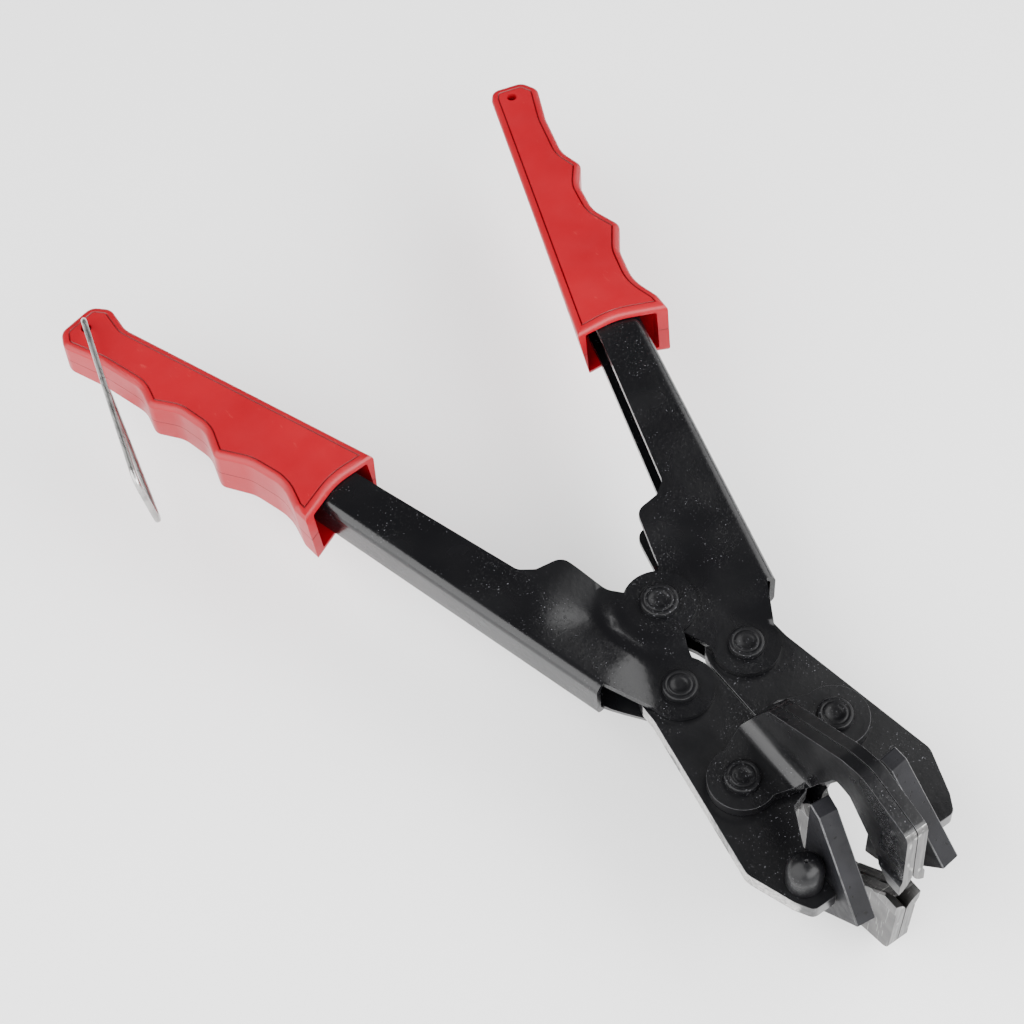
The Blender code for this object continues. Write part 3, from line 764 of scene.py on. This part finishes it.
@dataclass
class Channel:
    """Handle channel: one bent sheet, its web outside, its flanges pinched to ears at the pivots."""

    side: Side
    skin: Material
    edge: Material
    angle: float = 15.3
    tail: Point = (14.2, -30.0)
    sheet: float = 2.0
    half_depth: float = 8.5
    bend: float = 3.5
    web: float = 41.2
    width_head: float = 21.3
    width_grip: float = 18.0
    grip_start: float = 118.5
    length: float = 170.0
    web_end: float = -5.0
    ear: float = 13.0
    lobe: float = 11.8
    ear_level: float = 5.3
    joggle_margin: float = 2.2
    joggle_ramp: float = 6.0
    joggle_step: float = 2.3
    fall_start: float = 36.0
    fall_length: float = 21.0
    fall_width: float = 22.0
    tail_pull: float = 0.8
    net: float = 2.8
    main_bore: float = 4.8
    tail_bore: float = 4.3
    play: float = 0.5
    soft: float = 0.32

    def in_arm(self, point: Point) -> Vector:
        """A linkage point in arm coordinates."""
        return Matrix.Rotation(math.radians(self.angle), 2) @ Vector(point)

    def outline(self) -> list[Point]:
        """Flat flange in arm coordinates: inner edge, hump, main ear, tail lobe, bend line.

        Returns:
            Points in millimetres, outward and along the arm.
        """
        bend_line = self.web - self.bend
        head, grip = self.web - self.width_head, self.web - self.width_grip
        inner = rounded([(bend_line, self.length, 0), (grip, self.length, 0), (grip, self.grip_start, 0),
                         (head, 47, 4), (head - 4, 42, 3), (6.5, 38, 5), (6, 16, 0), (0, 0, 0)], 8)[:-1]
        centre = self.in_arm(self.tail)
        ear = self.arc((0, 0), self.ear, 70, 285, 40)
        lobe = self.arc(centre, self.lobe, 165, 372, 36)
        return [*inner, *ear, (7.2, -17.2), *lobe, (bend_line, self.web_end)]

    @staticmethod
    def arc(centre: Sequence[float], radius: float, start: float, end: float, steps: int) -> list[Point]:
        """Points of an arc.

        Args:
            centre: its centre in millimetres.
            radius: its radius in millimetres.
            start: first angle in degrees.
            end: last angle in degrees.
            steps: straight pieces.

        Returns:
            The points.
        """
        turns = (math.radians(start + (end - start) * i / steps) for i in range(steps + 1))
        return [(centre[0] + radius * math.cos(a), centre[1] + radius * math.sin(a)) for a in turns]

    def level(self, u: float, v: float) -> float:
        """Outer level of the flange at a place in arm coordinates, in millimetres."""
        along = smooth_ramp((self.fall_start - v) / self.fall_length)
        pull = self.tail_pull * max(0.0, self.web_end - v)
        across = smooth_ramp((self.web - self.bend - u + pull) / self.fall_width)
        level = self.half_depth + (self.ear_level - self.half_depth) * along * across
        if self.side is Side.LEFT:
            away = math.hypot(u, v) - self.ear - self.joggle_margin
            level += self.joggle_step * smooth_ramp(1 - away / self.joggle_ramp) * along * across
        return level

    def flange(self) -> Object:
        """Cut the flat flange into a fine net and lift it to its levels.

        Returns:
            The front flange as an open sheet.
        """
        outline = self.outline()
        deselect_all()
        bpy.ops.mesh.primitive_circle_add(vertices=len(outline), radius=10 * MM, fill_type="NGON")
        obj = last_added(f"handle_channel_{self.side.value}_sheet")
        for vert, (u, v) in zip(obj.data.vertices, outline):
            vert.co = (u * MM, v * MM, 0)
        open_edit(obj)
        for axis, first, count in ((Vector((1, 0, 0)), -13.5, 19), (Vector((0, 1, 0)), -40.5, 29)):
            for i in range(count):
                bpy.ops.mesh.select_all(action="SELECT")
                bpy.ops.mesh.bisect(plane_co=axis * (first + self.net * i) * MM, plane_no=axis)
        bpy.ops.mesh.select_all(action="SELECT")
        bpy.ops.mesh.remove_doubles(threshold=2e-5)
        bpy.ops.mesh.normals_make_consistent(inside=False)
        close_edit()
        if sum(p.normal.z * p.area for p in obj.data.polygons) < 0:
            obj.data.flip_normals()
        for vert in obj.data.vertices:
            vert.co.z = self.level(vert.co.x / MM, vert.co.y / MM) * MM
        return obj

    def bend_web(self, obj: Object) -> None:
        """Extrude the bend line round the bend and down to the middle.

        Args:
            obj: the flange.
        """
        line = (self.web - self.bend) * MM
        open_edit(obj, "EDGE")
        select_edges(obj, lambda e: e.is_boundary and all(abs(v.co.x - line) < 1e-6 for v in e.verts))
        radius = self.bend * MM
        for last, turn in quarter_turn(8):
            move = (radius * (math.sin(turn) - math.sin(last)), 0, radius * (math.cos(turn) - math.cos(last)))
            bpy.ops.mesh.extrude_region_move(TRANSFORM_OT_translate={"value": move})
        drop = (self.half_depth - self.bend) * 0.5 * MM
        for _ in range(2):
            bpy.ops.mesh.extrude_region_move(TRANSFORM_OT_translate={"value": (0, 0, -drop)})
        close_edit()

    def bores(self) -> list[Object]:
        """Drills for the two pivots.

        Returns:
            Closed cylinders in arm coordinates.
        """
        play = self.play if self.side is Side.RIGHT else 0.0
        holes = (("main", (0, 0), self.main_bore + play), ("tail", self.in_arm(self.tail), self.tail_bore))
        return [cylinder(f"{label}_drill", radius * MM, DRILL_DEPTH, (x * MM, y * MM, 0), 48)
                for label, (x, y), radius in holes]

    def build(self) -> Object:
        """Make the front half, mirror it, give it its wall and drill it.

        Returns:
            The finished channel.
        """
        obj = self.flange()
        self.bend_web(obj)
        with_modifier(obj, "MIRROR", use_axis=(False, False, True), merge_threshold=1e-5)
        with_modifier(obj, "SOLIDIFY", thickness=self.sheet * MM, offset=-1)
        close_seams(obj)
        for tool in self.bores():
            cut_out(obj, tool)
        obj.data.materials.clear()
        obj.data.materials.append(self.skin)
        obj.data.materials.append(self.edge)
        soften(obj, self.soft, 2, 48, material=Coat.EDGE, use_clamp_overlap=True)
        stand(obj, self.side, -self.angle)
        shade(obj, 42)
        settle(obj, f"{self.side.value}_handle", "arm_enamel", f"handle_channel_{self.side.value}")
        return obj


@dataclass
class JawPlate(SheetPart):
    """Jaw plate: its sawn outer wall shows bare steel."""

    wall: Material | None = None

    def dress(self, obj: Object) -> None:
        """Bare the sawn wall that faces away from the beak."""
        if self.wall is None:
            return
        obj.data.materials.append(self.wall)
        centre = pivot_place()
        for polygon in obj.data.polygons:
            outward = polygon.normal.x * (1 if polygon.center.x > centre.x else -1)
            if abs(polygon.normal.z) < 0.5 and outward > 0.3 and polygon.center.y < centre.y - 30 * MM:
                polygon.material_index = Coat.BARE


@dataclass
class Bracket(SheetPart):
    """Bracket half: enamelled wing and a beak ground bright where it works."""

    face: Face = Face.FRONT
    bare: Material | None = None
    tip: float = -129.0
    throat: float = -84.0

    def dress(self, obj: Object) -> None:
        """Bare the tip strip in front, and the whole beak behind."""
        obj.data.materials.append(self.bare)
        centre = pivot_place()
        for polygon in obj.data.polygons:
            y = (polygon.center.y - centre.y) / MM
            z = (polygon.center.z - centre.z) / MM
            tip_strip = y < self.tip and polygon.normal.y < -0.5
            slope = y < self.throat and polygon.normal.z * z < 0 and abs(polygon.normal.x) < 0.5
            behind = self.face is Face.REAR and y < self.throat + 6
            if tip_strip or behind or slope:
                polygon.material_index = Coat.BARE


@dataclass
class Rivet:
    """Riveted pin: a rim, a ring groove and a hammered dish on each end."""

    node: str
    body: str
    skin: Material
    overhang: float = 2.2
    head_height: float = 2.0

    def build(self) -> Object:
        """Grow both heads from the shank's ends.

        Returns:
            The finished pin.
        """
        low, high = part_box(self.node)
        centre = (low + high) / 2
        head = (high.x - low.x) / 2 / MM
        half = (high.z - low.z) / 2 / MM
        shank = head - self.overhang
        seat = half - self.head_height
        obj = cylinder(self.node + "_pin", shank * MM, 2 * seat * MM, centre, 64)
        open_edit(obj)
        select_faces(obj, lambda f: abs(f.normal.z) > 0.9)
        ringed(obj, centre, [
            (head - 0.2, 0.0), (head, 0.25), (head, 0.75), (head - 0.12, 1.05), (head - 0.4, 0.3),
            (head - 1.0, 0.12), (head - 1.45, 0.02), (head - 1.7, -0.2), (head - 1.95, -0.02),
            (head - 2.15, 0.2), (head - 2.6, 0.06), (head - 3.2, -0.05), (head - 3.7, -0.3),
            (head - 4.4, -0.22), (0.9, -0.06), (0.35, 0.05),
        ], shank)
        close_edit()
        self.keep_height(obj, centre, half)
        obj.data.materials.append(self.skin)
        shade(obj, 50)
        settle(obj, self.body, "rivet_enamel", self.node)
        return obj

    @staticmethod
    def keep_height(obj: Object, centre: Vector, half: float) -> None:
        """Bring the heads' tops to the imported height.

        Args:
            obj: the pin.
            centre: its middle.
            half: half of its packed height in millimetres.
        """
        top = max(abs(vert.co.z - centre.z) for vert in obj.data.vertices)
        open_edit(obj, "VERT")
        bpy.ops.mesh.select_all(action="SELECT")
        bpy.ops.transform.resize(value=(1, 1, half * MM / top), center_override=centre)
        close_edit()


@dataclass
class Stud:
    """Round-headed stud on the left jaw with a small centre mark."""

    node: str = "die_stud"
    body: str = "left_jaw"
    skin: Material | None = None
    shank: float = 4.0
    seat: float = 6.3

    def build(self) -> Object:
        """Grow the dome from the shank's upper end.

        Returns:
            The finished stud.
        """
        low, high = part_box(self.node)
        centre = (low + high) / 2
        radius = (high.x - low.x) / 2 / MM
        tall = (high.z - low.z) / MM
        foot = (centre.x, centre.y, low.z + self.seat / 2 * MM)
        obj = cylinder("die_stud_dome", self.shank * MM, self.seat * MM, foot, 56)
        open_edit(obj)
        select_faces(obj, lambda f: f.normal.z > 0.9)
        wall = tall - self.seat - radius
        rings: list[Point] = [(radius - 0.3, 0.0), (radius, 0.3), (radius, wall - 0.3)]
        rings += [(radius * math.cos(turn), radius * (math.sin(turn) - math.sin(last)))
                  for last, turn in quarter_turn(9)[:-1]]
        rings += [(0.75, 0.1), (0.6, -0.25), (0.2, -0.1)]
        ringed(obj, centre, rings, self.shank)
        close_edit()
        obj.data.materials.append(self.skin)
        shade(obj, 50)
        settle(obj, self.body, "rivet_enamel", self.node)
        return obj


@dataclass
class Bush:
    """Bush on the main pivot between the inner ears."""

    node: str = "main_pivot_spacer"
    body: str = "left_handle"
    skin: Material | None = None
    wall: float = 2.5

    def build(self) -> Object:
        """Turn the bush with a chamfer at every rim.

        Returns:
            The finished bush.
        """
        low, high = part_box(self.node)
        centre = (low + high) / 2
        outside = (high.x - low.x) / 2
        tall = high.z - low.z
        obj = cylinder("main_pivot_bush", outside, tall, centre, 64)
        cut_out(obj, cylinder("bush_bore", outside - self.wall * MM, 2 * tall, centre, 64))
        soften(obj, 0.25, 2, 40)
        obj.data.materials.append(self.skin)
        shade(obj, 40)
        settle(obj, self.body, "ground_steel", self.node)
        return obj


@dataclass
class Die:
    """Wedge die: thick plate with a V edge, softened rims and a sawn flat back."""

    side: Side
    skin: Material
    edge: Material
    thickness: float = 7.1
    standoff: float = 10.2
    splay: float = 7.0
    back: float = -100.7
    length: float = 31.0
    half_height: float = 32.0
    land: float = 5.4
    land_rise: float = 1.2

    def build(self) -> Object:
        """Cut the wedge from a slab and stand it on its jaw.

        Returns:
            The finished die.
        """
        reach = self.length / math.cos(math.radians(self.splay))
        low = self.half_height - self.land_rise
        outline = rounded([(-reach, 0, 0.6), (-self.land, low, 0.8), (0, self.half_height, 0.6),
                           (0, -self.half_height, 0.6), (-self.land, -low, 0.8)], 3)
        obj = slab(f"die_{self.side.value}_wedge", outline, 0, self.thickness)
        obj.data.materials.append(self.skin)
        obj.data.materials.append(self.edge)
        soften(obj, 0.45, 3, 50, material=Coat.EDGE)
        upright = Matrix(((0, 0, 1, 0), (1, 0, 0, 0), (0, 1, 0, 0), (0, 0, 0, 1)))
        place = Matrix.Translation((self.standoff * MM, self.back * MM, 0))
        obj.data.transform(place @ Matrix.Rotation(math.radians(self.splay), 4, "Z") @ upright)
        stand(obj, self.side)
        shade(obj, 40)
        settle(obj, f"{self.side.value}_jaw", "die_steel", f"die_{self.side.value}")
        return obj


@dataclass
class Serration:
    """Row of fine teeth across the sloping edge of one rear beak half."""

    side: Side
    skin: Material
    start: Point = (-129.5, -1.9)
    end: Point = (-105.2, -26.6)
    seam: float = 0.15
    wall: float = 4.15
    pitch: float = 0.9
    tall: float = 0.45

    def build(self) -> Object:
        """Model one tooth, then copy it down the slope.

        Returns:
            The finished row.
        """
        run = Vector((self.end[0] - self.start[0], self.end[1] - self.start[1]))
        count = int(run.length / self.pitch)
        width = self.wall - self.seam - 0.5
        deselect_all()
        bpy.ops.mesh.primitive_cube_add(size=1)
        obj = last_added(f"serration_{self.side.value}")
        for vert in obj.data.vertices:
            x, y, z = vert.co
            vert.co = (x * width * MM, y * 0.8 * self.pitch * MM, (z + 0.5) * self.tall * MM)
        open_edit(obj)
        select_faces(obj, lambda f: f.normal.z > 0.9)
        bpy.ops.transform.resize(value=(0.94, 0.18, 1))
        close_edit()
        with_modifier(obj, "ARRAY", count=count, use_relative_offset=False, use_constant_offset=True,
                      constant_offset_displace=(0, self.pitch * MM, 0))
        slope = math.atan2(run.y, run.x)
        x = self.side.sign * (self.seam + 0.25 + width / 2)
        place = pivot_place() + Vector((x, self.start[0] + 0.4, self.start[1])) * MM
        obj.data.transform(Matrix.Translation(place) @ Matrix.Rotation(slope, 4, "X"))
        obj.data.materials.append(self.skin)
        settle(obj, "head", "ground_steel")
        return obj


@dataclass
class Grip:
    """Hollow moulded grip with finger scallops, a framed front face and a parting line."""

    side: Side
    skin: Material
    # seam: darker red material of the painted shade in the groove and the parting line.
    seam: Material
    angle: float = 15.3
    start: float = 118.5
    length: float = 135.5
    web: float = 41.2
    half_depth: float = 12.1
    end_half_depth: float = 7.8
    draft: float = 3.5
    rake: float = 3.0
    wall: float = 3.0
    mouth_inward: float = 26.5
    end_inward: float = 14.0
    outward: float = 3.6
    draft_width: float = 20.0
    fold_inward: float = 16.5
    fold_run: float = 8.5
    arm_half_depth: float = 8.5
    arm_room: float = 0.6
    arm_width: float = 18.0
    arm_length: float = 170.0
    rim: float = 2.4
    groove: float = 0.5
    face_fold: float = 0.08
    hang_hole: float = 2.0
    hang_hole_from_end: float = 7.0
    hang_hole_inward: float = 6.2

    def outline(self) -> list[Point]:
        """Front outline in arm coordinates: scallops outside, concave mouth edge.

        Returns:
            Points in millimetres, outward and along the arm.
        """
        start, end = self.start, self.start + self.length
        inner, end_inner = self.web - self.mouth_inward, self.web - self.end_inward
        outer = self.web + self.outward
        corners: list[Corner] = [
            (outer + 6.2, start, 0), (outer + 5.0, start + 7, 5), (outer - 0.6, start + 18, 20),
            (outer + 0.2, start + 34, 16), (outer + 5.1, start + 46.5, 4.2), (outer - 1.6, start + 58, 14),
            (outer - 1.8, start + 72, 12), (outer + 2.8, start + 82.5, 4.2), (outer - 1.8, start + 92, 14),
            (outer - 1.2, start + 112, 20), (outer + 1.7, end - 6, 5), (outer - 3.0, end, 5),
        ]
        if self.side is Side.LEFT:
            corners += [(end_inner - 1.5, end, 5), (end_inner - 5.5, end - 7, 5),
                        (end_inner - 1.5, end - 19, 10)]
        else:
            corners += [(end_inner + 1.5, end, 4), (end_inner - 0.5, end - 5, 4)]
        corners += [(inner, start, 0), ((inner + outer) / 2 + 2, start + 3.2, 30)]
        return rounded(corners, 6)

    def hole_place(self) -> Point:
        """Hang hole in arm coordinates."""
        return self.web - self.hang_hole_inward, self.start + self.length - self.hang_hole_from_end

    def shape_face(self, obj: Object) -> None:
        """Round the rims, frame both faces with a groove and cut the parting line.

        Args:
            obj: plain slab of the grip.
        """
        open_edit(obj)
        select_faces(obj, lambda f: abs(f.normal.z) > 0.9)
        for last, turn in quarter_turn(5):
            bpy.ops.mesh.inset(thickness=self.rim * (math.cos(last) - math.cos(turn)) * MM,
                               depth=self.rim * (math.sin(turn) - math.sin(last)) * MM, use_even_offset=True)
        bpy.ops.mesh.inset(thickness=0.3 * MM, depth=0, use_even_offset=True)
        # The groove round each face gets the darker red: painted shade in the groove.
        self.paint(obj, Coat.EDGE)
        for width, depth in ((0.12, -0.6), (0.2, -0.4), (0.2, 0.4), (0.12, 0.6)):
            bpy.ops.mesh.inset(thickness=width * MM, depth=depth * self.groove * MM, use_even_offset=True)
        self.paint(obj, Coat.SKIN)
        close_edit()
        open_edit(obj, "EDGE")
        bpy.ops.mesh.select_all(action="SELECT")
        bpy.ops.mesh.bisect(plane_co=(0, 0, 0), plane_no=(0, 0, 1))
        select_edges(obj, lambda e: all(abs(v.co.z) < 1e-6 for v in e.verts))
        bpy.ops.mesh.bevel(offset=0.22 * MM, segments=2, profile=0.5)
        select_edges(obj, lambda e: all(abs(v.co.z) < 1e-6 for v in e.verts))
        bpy.ops.transform.shrink_fatten(value=-0.2 * MM)
        close_edit()
        open_edit(obj)
        select_faces(obj, lambda f: abs(f.normal.z) < 0.97 and abs(f.calc_center_median().z) < 0.3 * MM)
        # The sunken parting line gets the darker red: painted shade along it.
        self.paint(obj, Coat.EDGE)
        bpy.ops.mesh.select_all(action="SELECT")
        bpy.ops.mesh.bisect(plane_co=(self.fold_line(0) * MM, self.start * MM, 0),
                            plane_no=(self.length, self.fold_line(0) - self.fold_line(1), 0))
        close_edit()

    def fold_line(self, share: float) -> float:
        """Line along which the inner third of each face falls away.

        Args:
            share: how far along the grip, 0 at the mouth and 1 at the end.

        Returns:
            Its place outward in arm coordinates, in millimetres.
        """
        return self.web - self.fold_inward + self.fold_run * share

    @staticmethod
    def paint(obj: Object, coat: Coat) -> None:
        """Give the selected faces of the open grip one of its finishes.

        Args:
            obj: grip in edit mode.
            coat: the skin, or the darker red painted shade of the groove and the parting line.
        """
        obj.active_material_index = coat
        bpy.ops.object.material_slot_assign()

    def taper(self, obj: Object) -> None:
        """Thin the grip toward its end, rake the mouth and draw the inner wall in behind.

        Args:
            obj: shaped grip in arm coordinates.
        """
        for vert in obj.data.vertices:
            u, v, z = (c / MM for c in vert.co)
            share = (v - self.start) / self.length
            behind = (1 - z / self.half_depth) / 2
            inner = self.web - self.mouth_inward + (self.mouth_inward - self.end_inward) * share
            inward = min(max(1 - (u - inner) / self.draft_width, 0), 1)
            u += self.draft * behind * inward
            v -= self.rake * behind * max(0.0, 1 - 4 * share)
            z *= 1 - self.face_fold * max(0.0, self.fold_line(share) - u) / self.half_depth
            z *= 1 + (self.end_half_depth / self.half_depth - 1) * share
            vert.co = (u * MM, v * MM, z * MM)

    def hollow(self, obj: Object) -> None:
        """Sink the pocket for the arm and drill the hang hole.

        Args:
            obj: tapered grip in arm coordinates.
        """
        inner, outer = self.web - self.mouth_inward + self.wall, self.web + self.arm_room
        end = self.arm_length + 1
        room = self.arm_half_depth + self.arm_room
        pocket = rounded([
            (inner, self.start - 6, 0), (outer + 5.6, self.start - 6, 0), (outer + 4.6, self.start + 3, 4),
            (outer, self.start + 14, 8), (outer, end, 1), (self.web - self.arm_width - self.arm_room, end, 1),
            (inner + 1.5, self.start + 16, 6)], 4)
        tool = slab("pocket_tool", pocket, -room, room)
        soften(tool, 0.8, 3, 60)
        cut_out(obj, tool)
        u, v = self.hole_place()
        cut_out(obj, cylinder("hang_hole_tool", self.hang_hole * MM, DRILL_DEPTH, (u * MM, v * MM, 0), 40))

    def build(self) -> Object:
        """Shape, taper, hollow and place the grip.

        Returns:
            The finished grip.
        """
        straight = self.half_depth - self.rim
        obj = slab(f"grip_{self.side.value}_moulding", self.outline(), -straight, straight)
        obj.data.materials.append(self.skin)
        # Second slot: the painted shade of the groove and the parting line.
        obj.data.materials.append(self.seam)
        self.shape_face(obj)
        self.taper(obj)
        self.hollow(obj)
        soften(obj, 0.5, 2, 62, use_clamp_overlap=True)
        stand(obj, self.side, -self.angle)
        shade(obj, 40)
        settle(obj, f"{self.side.value}_handle", "grip_plastic", f"grip_{self.side.value}")
        return obj


@dataclass
class Bail:
    """Bent wire loop through the left grip's hang hole, its ends butted in the front leg."""

    skin: Material
    radius: float = 1.17
    length: float = 82.0
    span: float = 15.6
    corner: float = 5.0
    lean: float = 4.0
    butt: float = 0.4
    angle: float = 15.3
    swing: float = 31.0

    def route(self) -> list[Vector]:
        """Centre line of the wire, from one butted end round the loop to the other.

        Returns:
            Points in metres.
        """
        corners = rounded([(0, -self.span, self.corner), (0, self.span, self.corner),
                           (self.length, self.span - 1, self.corner),
                           (self.length, 1 - self.span, self.corner)], 10)
        joint = self.butt * self.length
        split = next(i for i, p in enumerate(corners) if p[0] > joint)
        level = self.span - 0.4
        loop = [(joint + 0.2, level), *corners[split:], *corners[:split], (joint - 0.2, level)]
        hinge = next(j for j in frame["joints"] if j["name"] == "bail_hinge")
        base = Vector(hinge["pos_m"])
        turn = math.radians(self.angle - self.swing)
        along = Vector((math.sin(turn), -math.cos(turn), 0))
        aside = Vector((math.cos(turn), math.sin(turn), 0))
        places = []
        for x, z in loop:
            lean = self.lean * (1 - z / self.span) / 2 * x / self.length
            places.append(base + along * (x * MM) + aside * (lean * MM) + Vector((0, 0, z * MM)))
        return places

    def build(self) -> Object:
        """Draw the wire along its route.

        Returns:
            The finished wire.
        """
        points = self.route()
        deselect_all()
        bpy.ops.curve.primitive_nurbs_path_add()
        obj = bpy.context.object
        obj.data.splines.clear()
        spline = obj.data.splines.new("POLY")
        spline.points.add(len(points) - 1)
        for point, place in zip(spline.points, points):
            point.co = (*place, 1)
        obj.data.bevel_depth = self.radius * MM
        obj.data.bevel_resolution = 5
        obj.data.use_fill_caps = True
        bpy.ops.object.convert(target="MESH")
        obj = last_added("bail_wire_loop")
        obj.data.materials.clear()
        obj.data.materials.append(self.skin)
        shade(obj, 50)
        settle(obj, "bail", "wire_steel", "bail_wire")
        return obj


@dataclass
class Studio:
    """Pale floor, soft lights and the camera."""

    eye: tuple[float, float, float] = (-260.985, -342.754, 681.503)
    turn: tuple[float, float, float] = (34.86711, 2.94888, -35.14386)
    lens: float = 81.546
    floor_size: float = 6.0

    def camera(self) -> None:
        """Stand the camera over the tool."""
        data = bpy.data.cameras.new("camera")
        data.lens = self.lens
        data.sensor_width = 36.0
        data.clip_start = 0.01
        obj = bpy.data.objects.new("camera", data)
        bpy.context.scene.collection.objects.link(obj)
        obj.location = pivot_place() + Vector(self.eye) * MM
        obj.rotation_euler = Euler([math.radians(a) for a in self.turn], "XYZ")
        bpy.context.scene.camera = obj

    def floor(self) -> None:
        """Lay the pale floor under the tool."""
        deselect_all()
        bpy.ops.mesh.primitive_plane_add(size=self.floor_size, location=(0, 0, -0.0005))
        obj = last_added("floor")
        s = Shader("floor_paper")
        s.set(Base_Color=(0.93, 0.93, 0.93, 1.0), Roughness=0.9, Specular_IOR_Level=0.1)
        obj.data.materials.append(s.material)

    def lamp(self, name: str, place: Sequence[float], size: Sequence[float], power: float) -> None:
        """Hang a soft rectangular lamp that points at the tool.

        Args:
            name: name of the lamp.
            place: where it hangs, in metres.
            size: its width and height in metres.
            power: watts.
        """
        data = bpy.data.lights.new(name, "AREA")
        data.shape = "RECTANGLE"
        data.size, data.size_y = size
        data.energy = power
        obj = bpy.data.objects.new(name, data)
        bpy.context.scene.collection.objects.link(obj)
        obj.location = place
        obj.rotation_euler = (-Vector(place)).to_track_quat("-Z", "Y").to_euler()

    def light(self) -> None:
        """Light the scene softly from the left, the front and the right."""
        world = bpy.data.worlds.new("studio_world")
        bpy.context.scene.world = world
        world.use_nodes = True
        sky = world.node_tree.nodes["Background"]
        sky.inputs["Color"].default_value = (1.0, 1.0, 1.0, 1.0)
        sky.inputs["Strength"].default_value = 0.12
        self.lamp("left_softbox", (-1.5, 0.1, 1.1), (3.2, 2.6), 138)
        self.lamp("front_softbox", (0.3, -1.7, 1.0), (2.8, 1.4), 122)
        self.lamp("right_softbox", (1.5, -0.2, 1.2), (2.2, 1.8), 46)

    def build(self) -> None:
        """Set up the whole studio."""
        self.camera()
        self.floor()
        self.light()
        LOG.info("studio ready")


def build_arms(palette: Palette) -> None:
    """Build both handles, their rivets and the bail.

    Args:
        palette: the finishes.
    """
    for side in Side:
        body = f"{side.value}_handle"
        Channel(side, palette.arm_enamel, palette.worn).build()
        # palette.seam is the darker red painted shade of the grip's groove and parting line.
        Grip(side, palette.plastic, palette.seam).build()
        Rivet(f"tail_rivet_{side.value}", body, palette.rivet_enamel).build()
    Rivet("main_pivot_rivet", "left_handle", palette.rivet_enamel).build()
    Bush(skin=palette.ground).build()
    Bail(palette.wire).build()


def build_head(palette: Palette) -> None:
    """Build the jaws, dies, stud, brackets and their rivets.

    Args:
        palette: the finishes.
    """
    for side in Side:
        JawPlate(f"jaw_{side.value}", f"{side.value}_jaw", "jaw_enamel", palette.enamel, palette.dim_edge,
                 soft=0.6, segments=3, wall=palette.worn).build()
        Die(side, palette.die, palette.dim_edge).build()
        Serration(side, palette.ground).build()
        Rivet(f"jaw_rivet_{side.value}", "head", palette.rivet_enamel).build()
        for face in Face:
            slot = "bracket_enamel" if face is Face.FRONT else "ground_steel"
            Bracket(f"bracket_{face.value}_{side.value}", "head", slot, palette.enamel, palette.dim_edge,
                    soft=0.5, segments=3, face=face, bare=palette.ground).build()
    Stud(skin=palette.rivet_enamel).build()


def main() -> None:
    """Build every piece in order and report each."""
    logging.basicConfig(level=logging.INFO, format="%(name)s: %(message)s")
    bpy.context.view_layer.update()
    palette = Palette()
    Studio().build()
    build_arms(palette)
    build_head(palette)


if __name__ == "__main__":
    main()
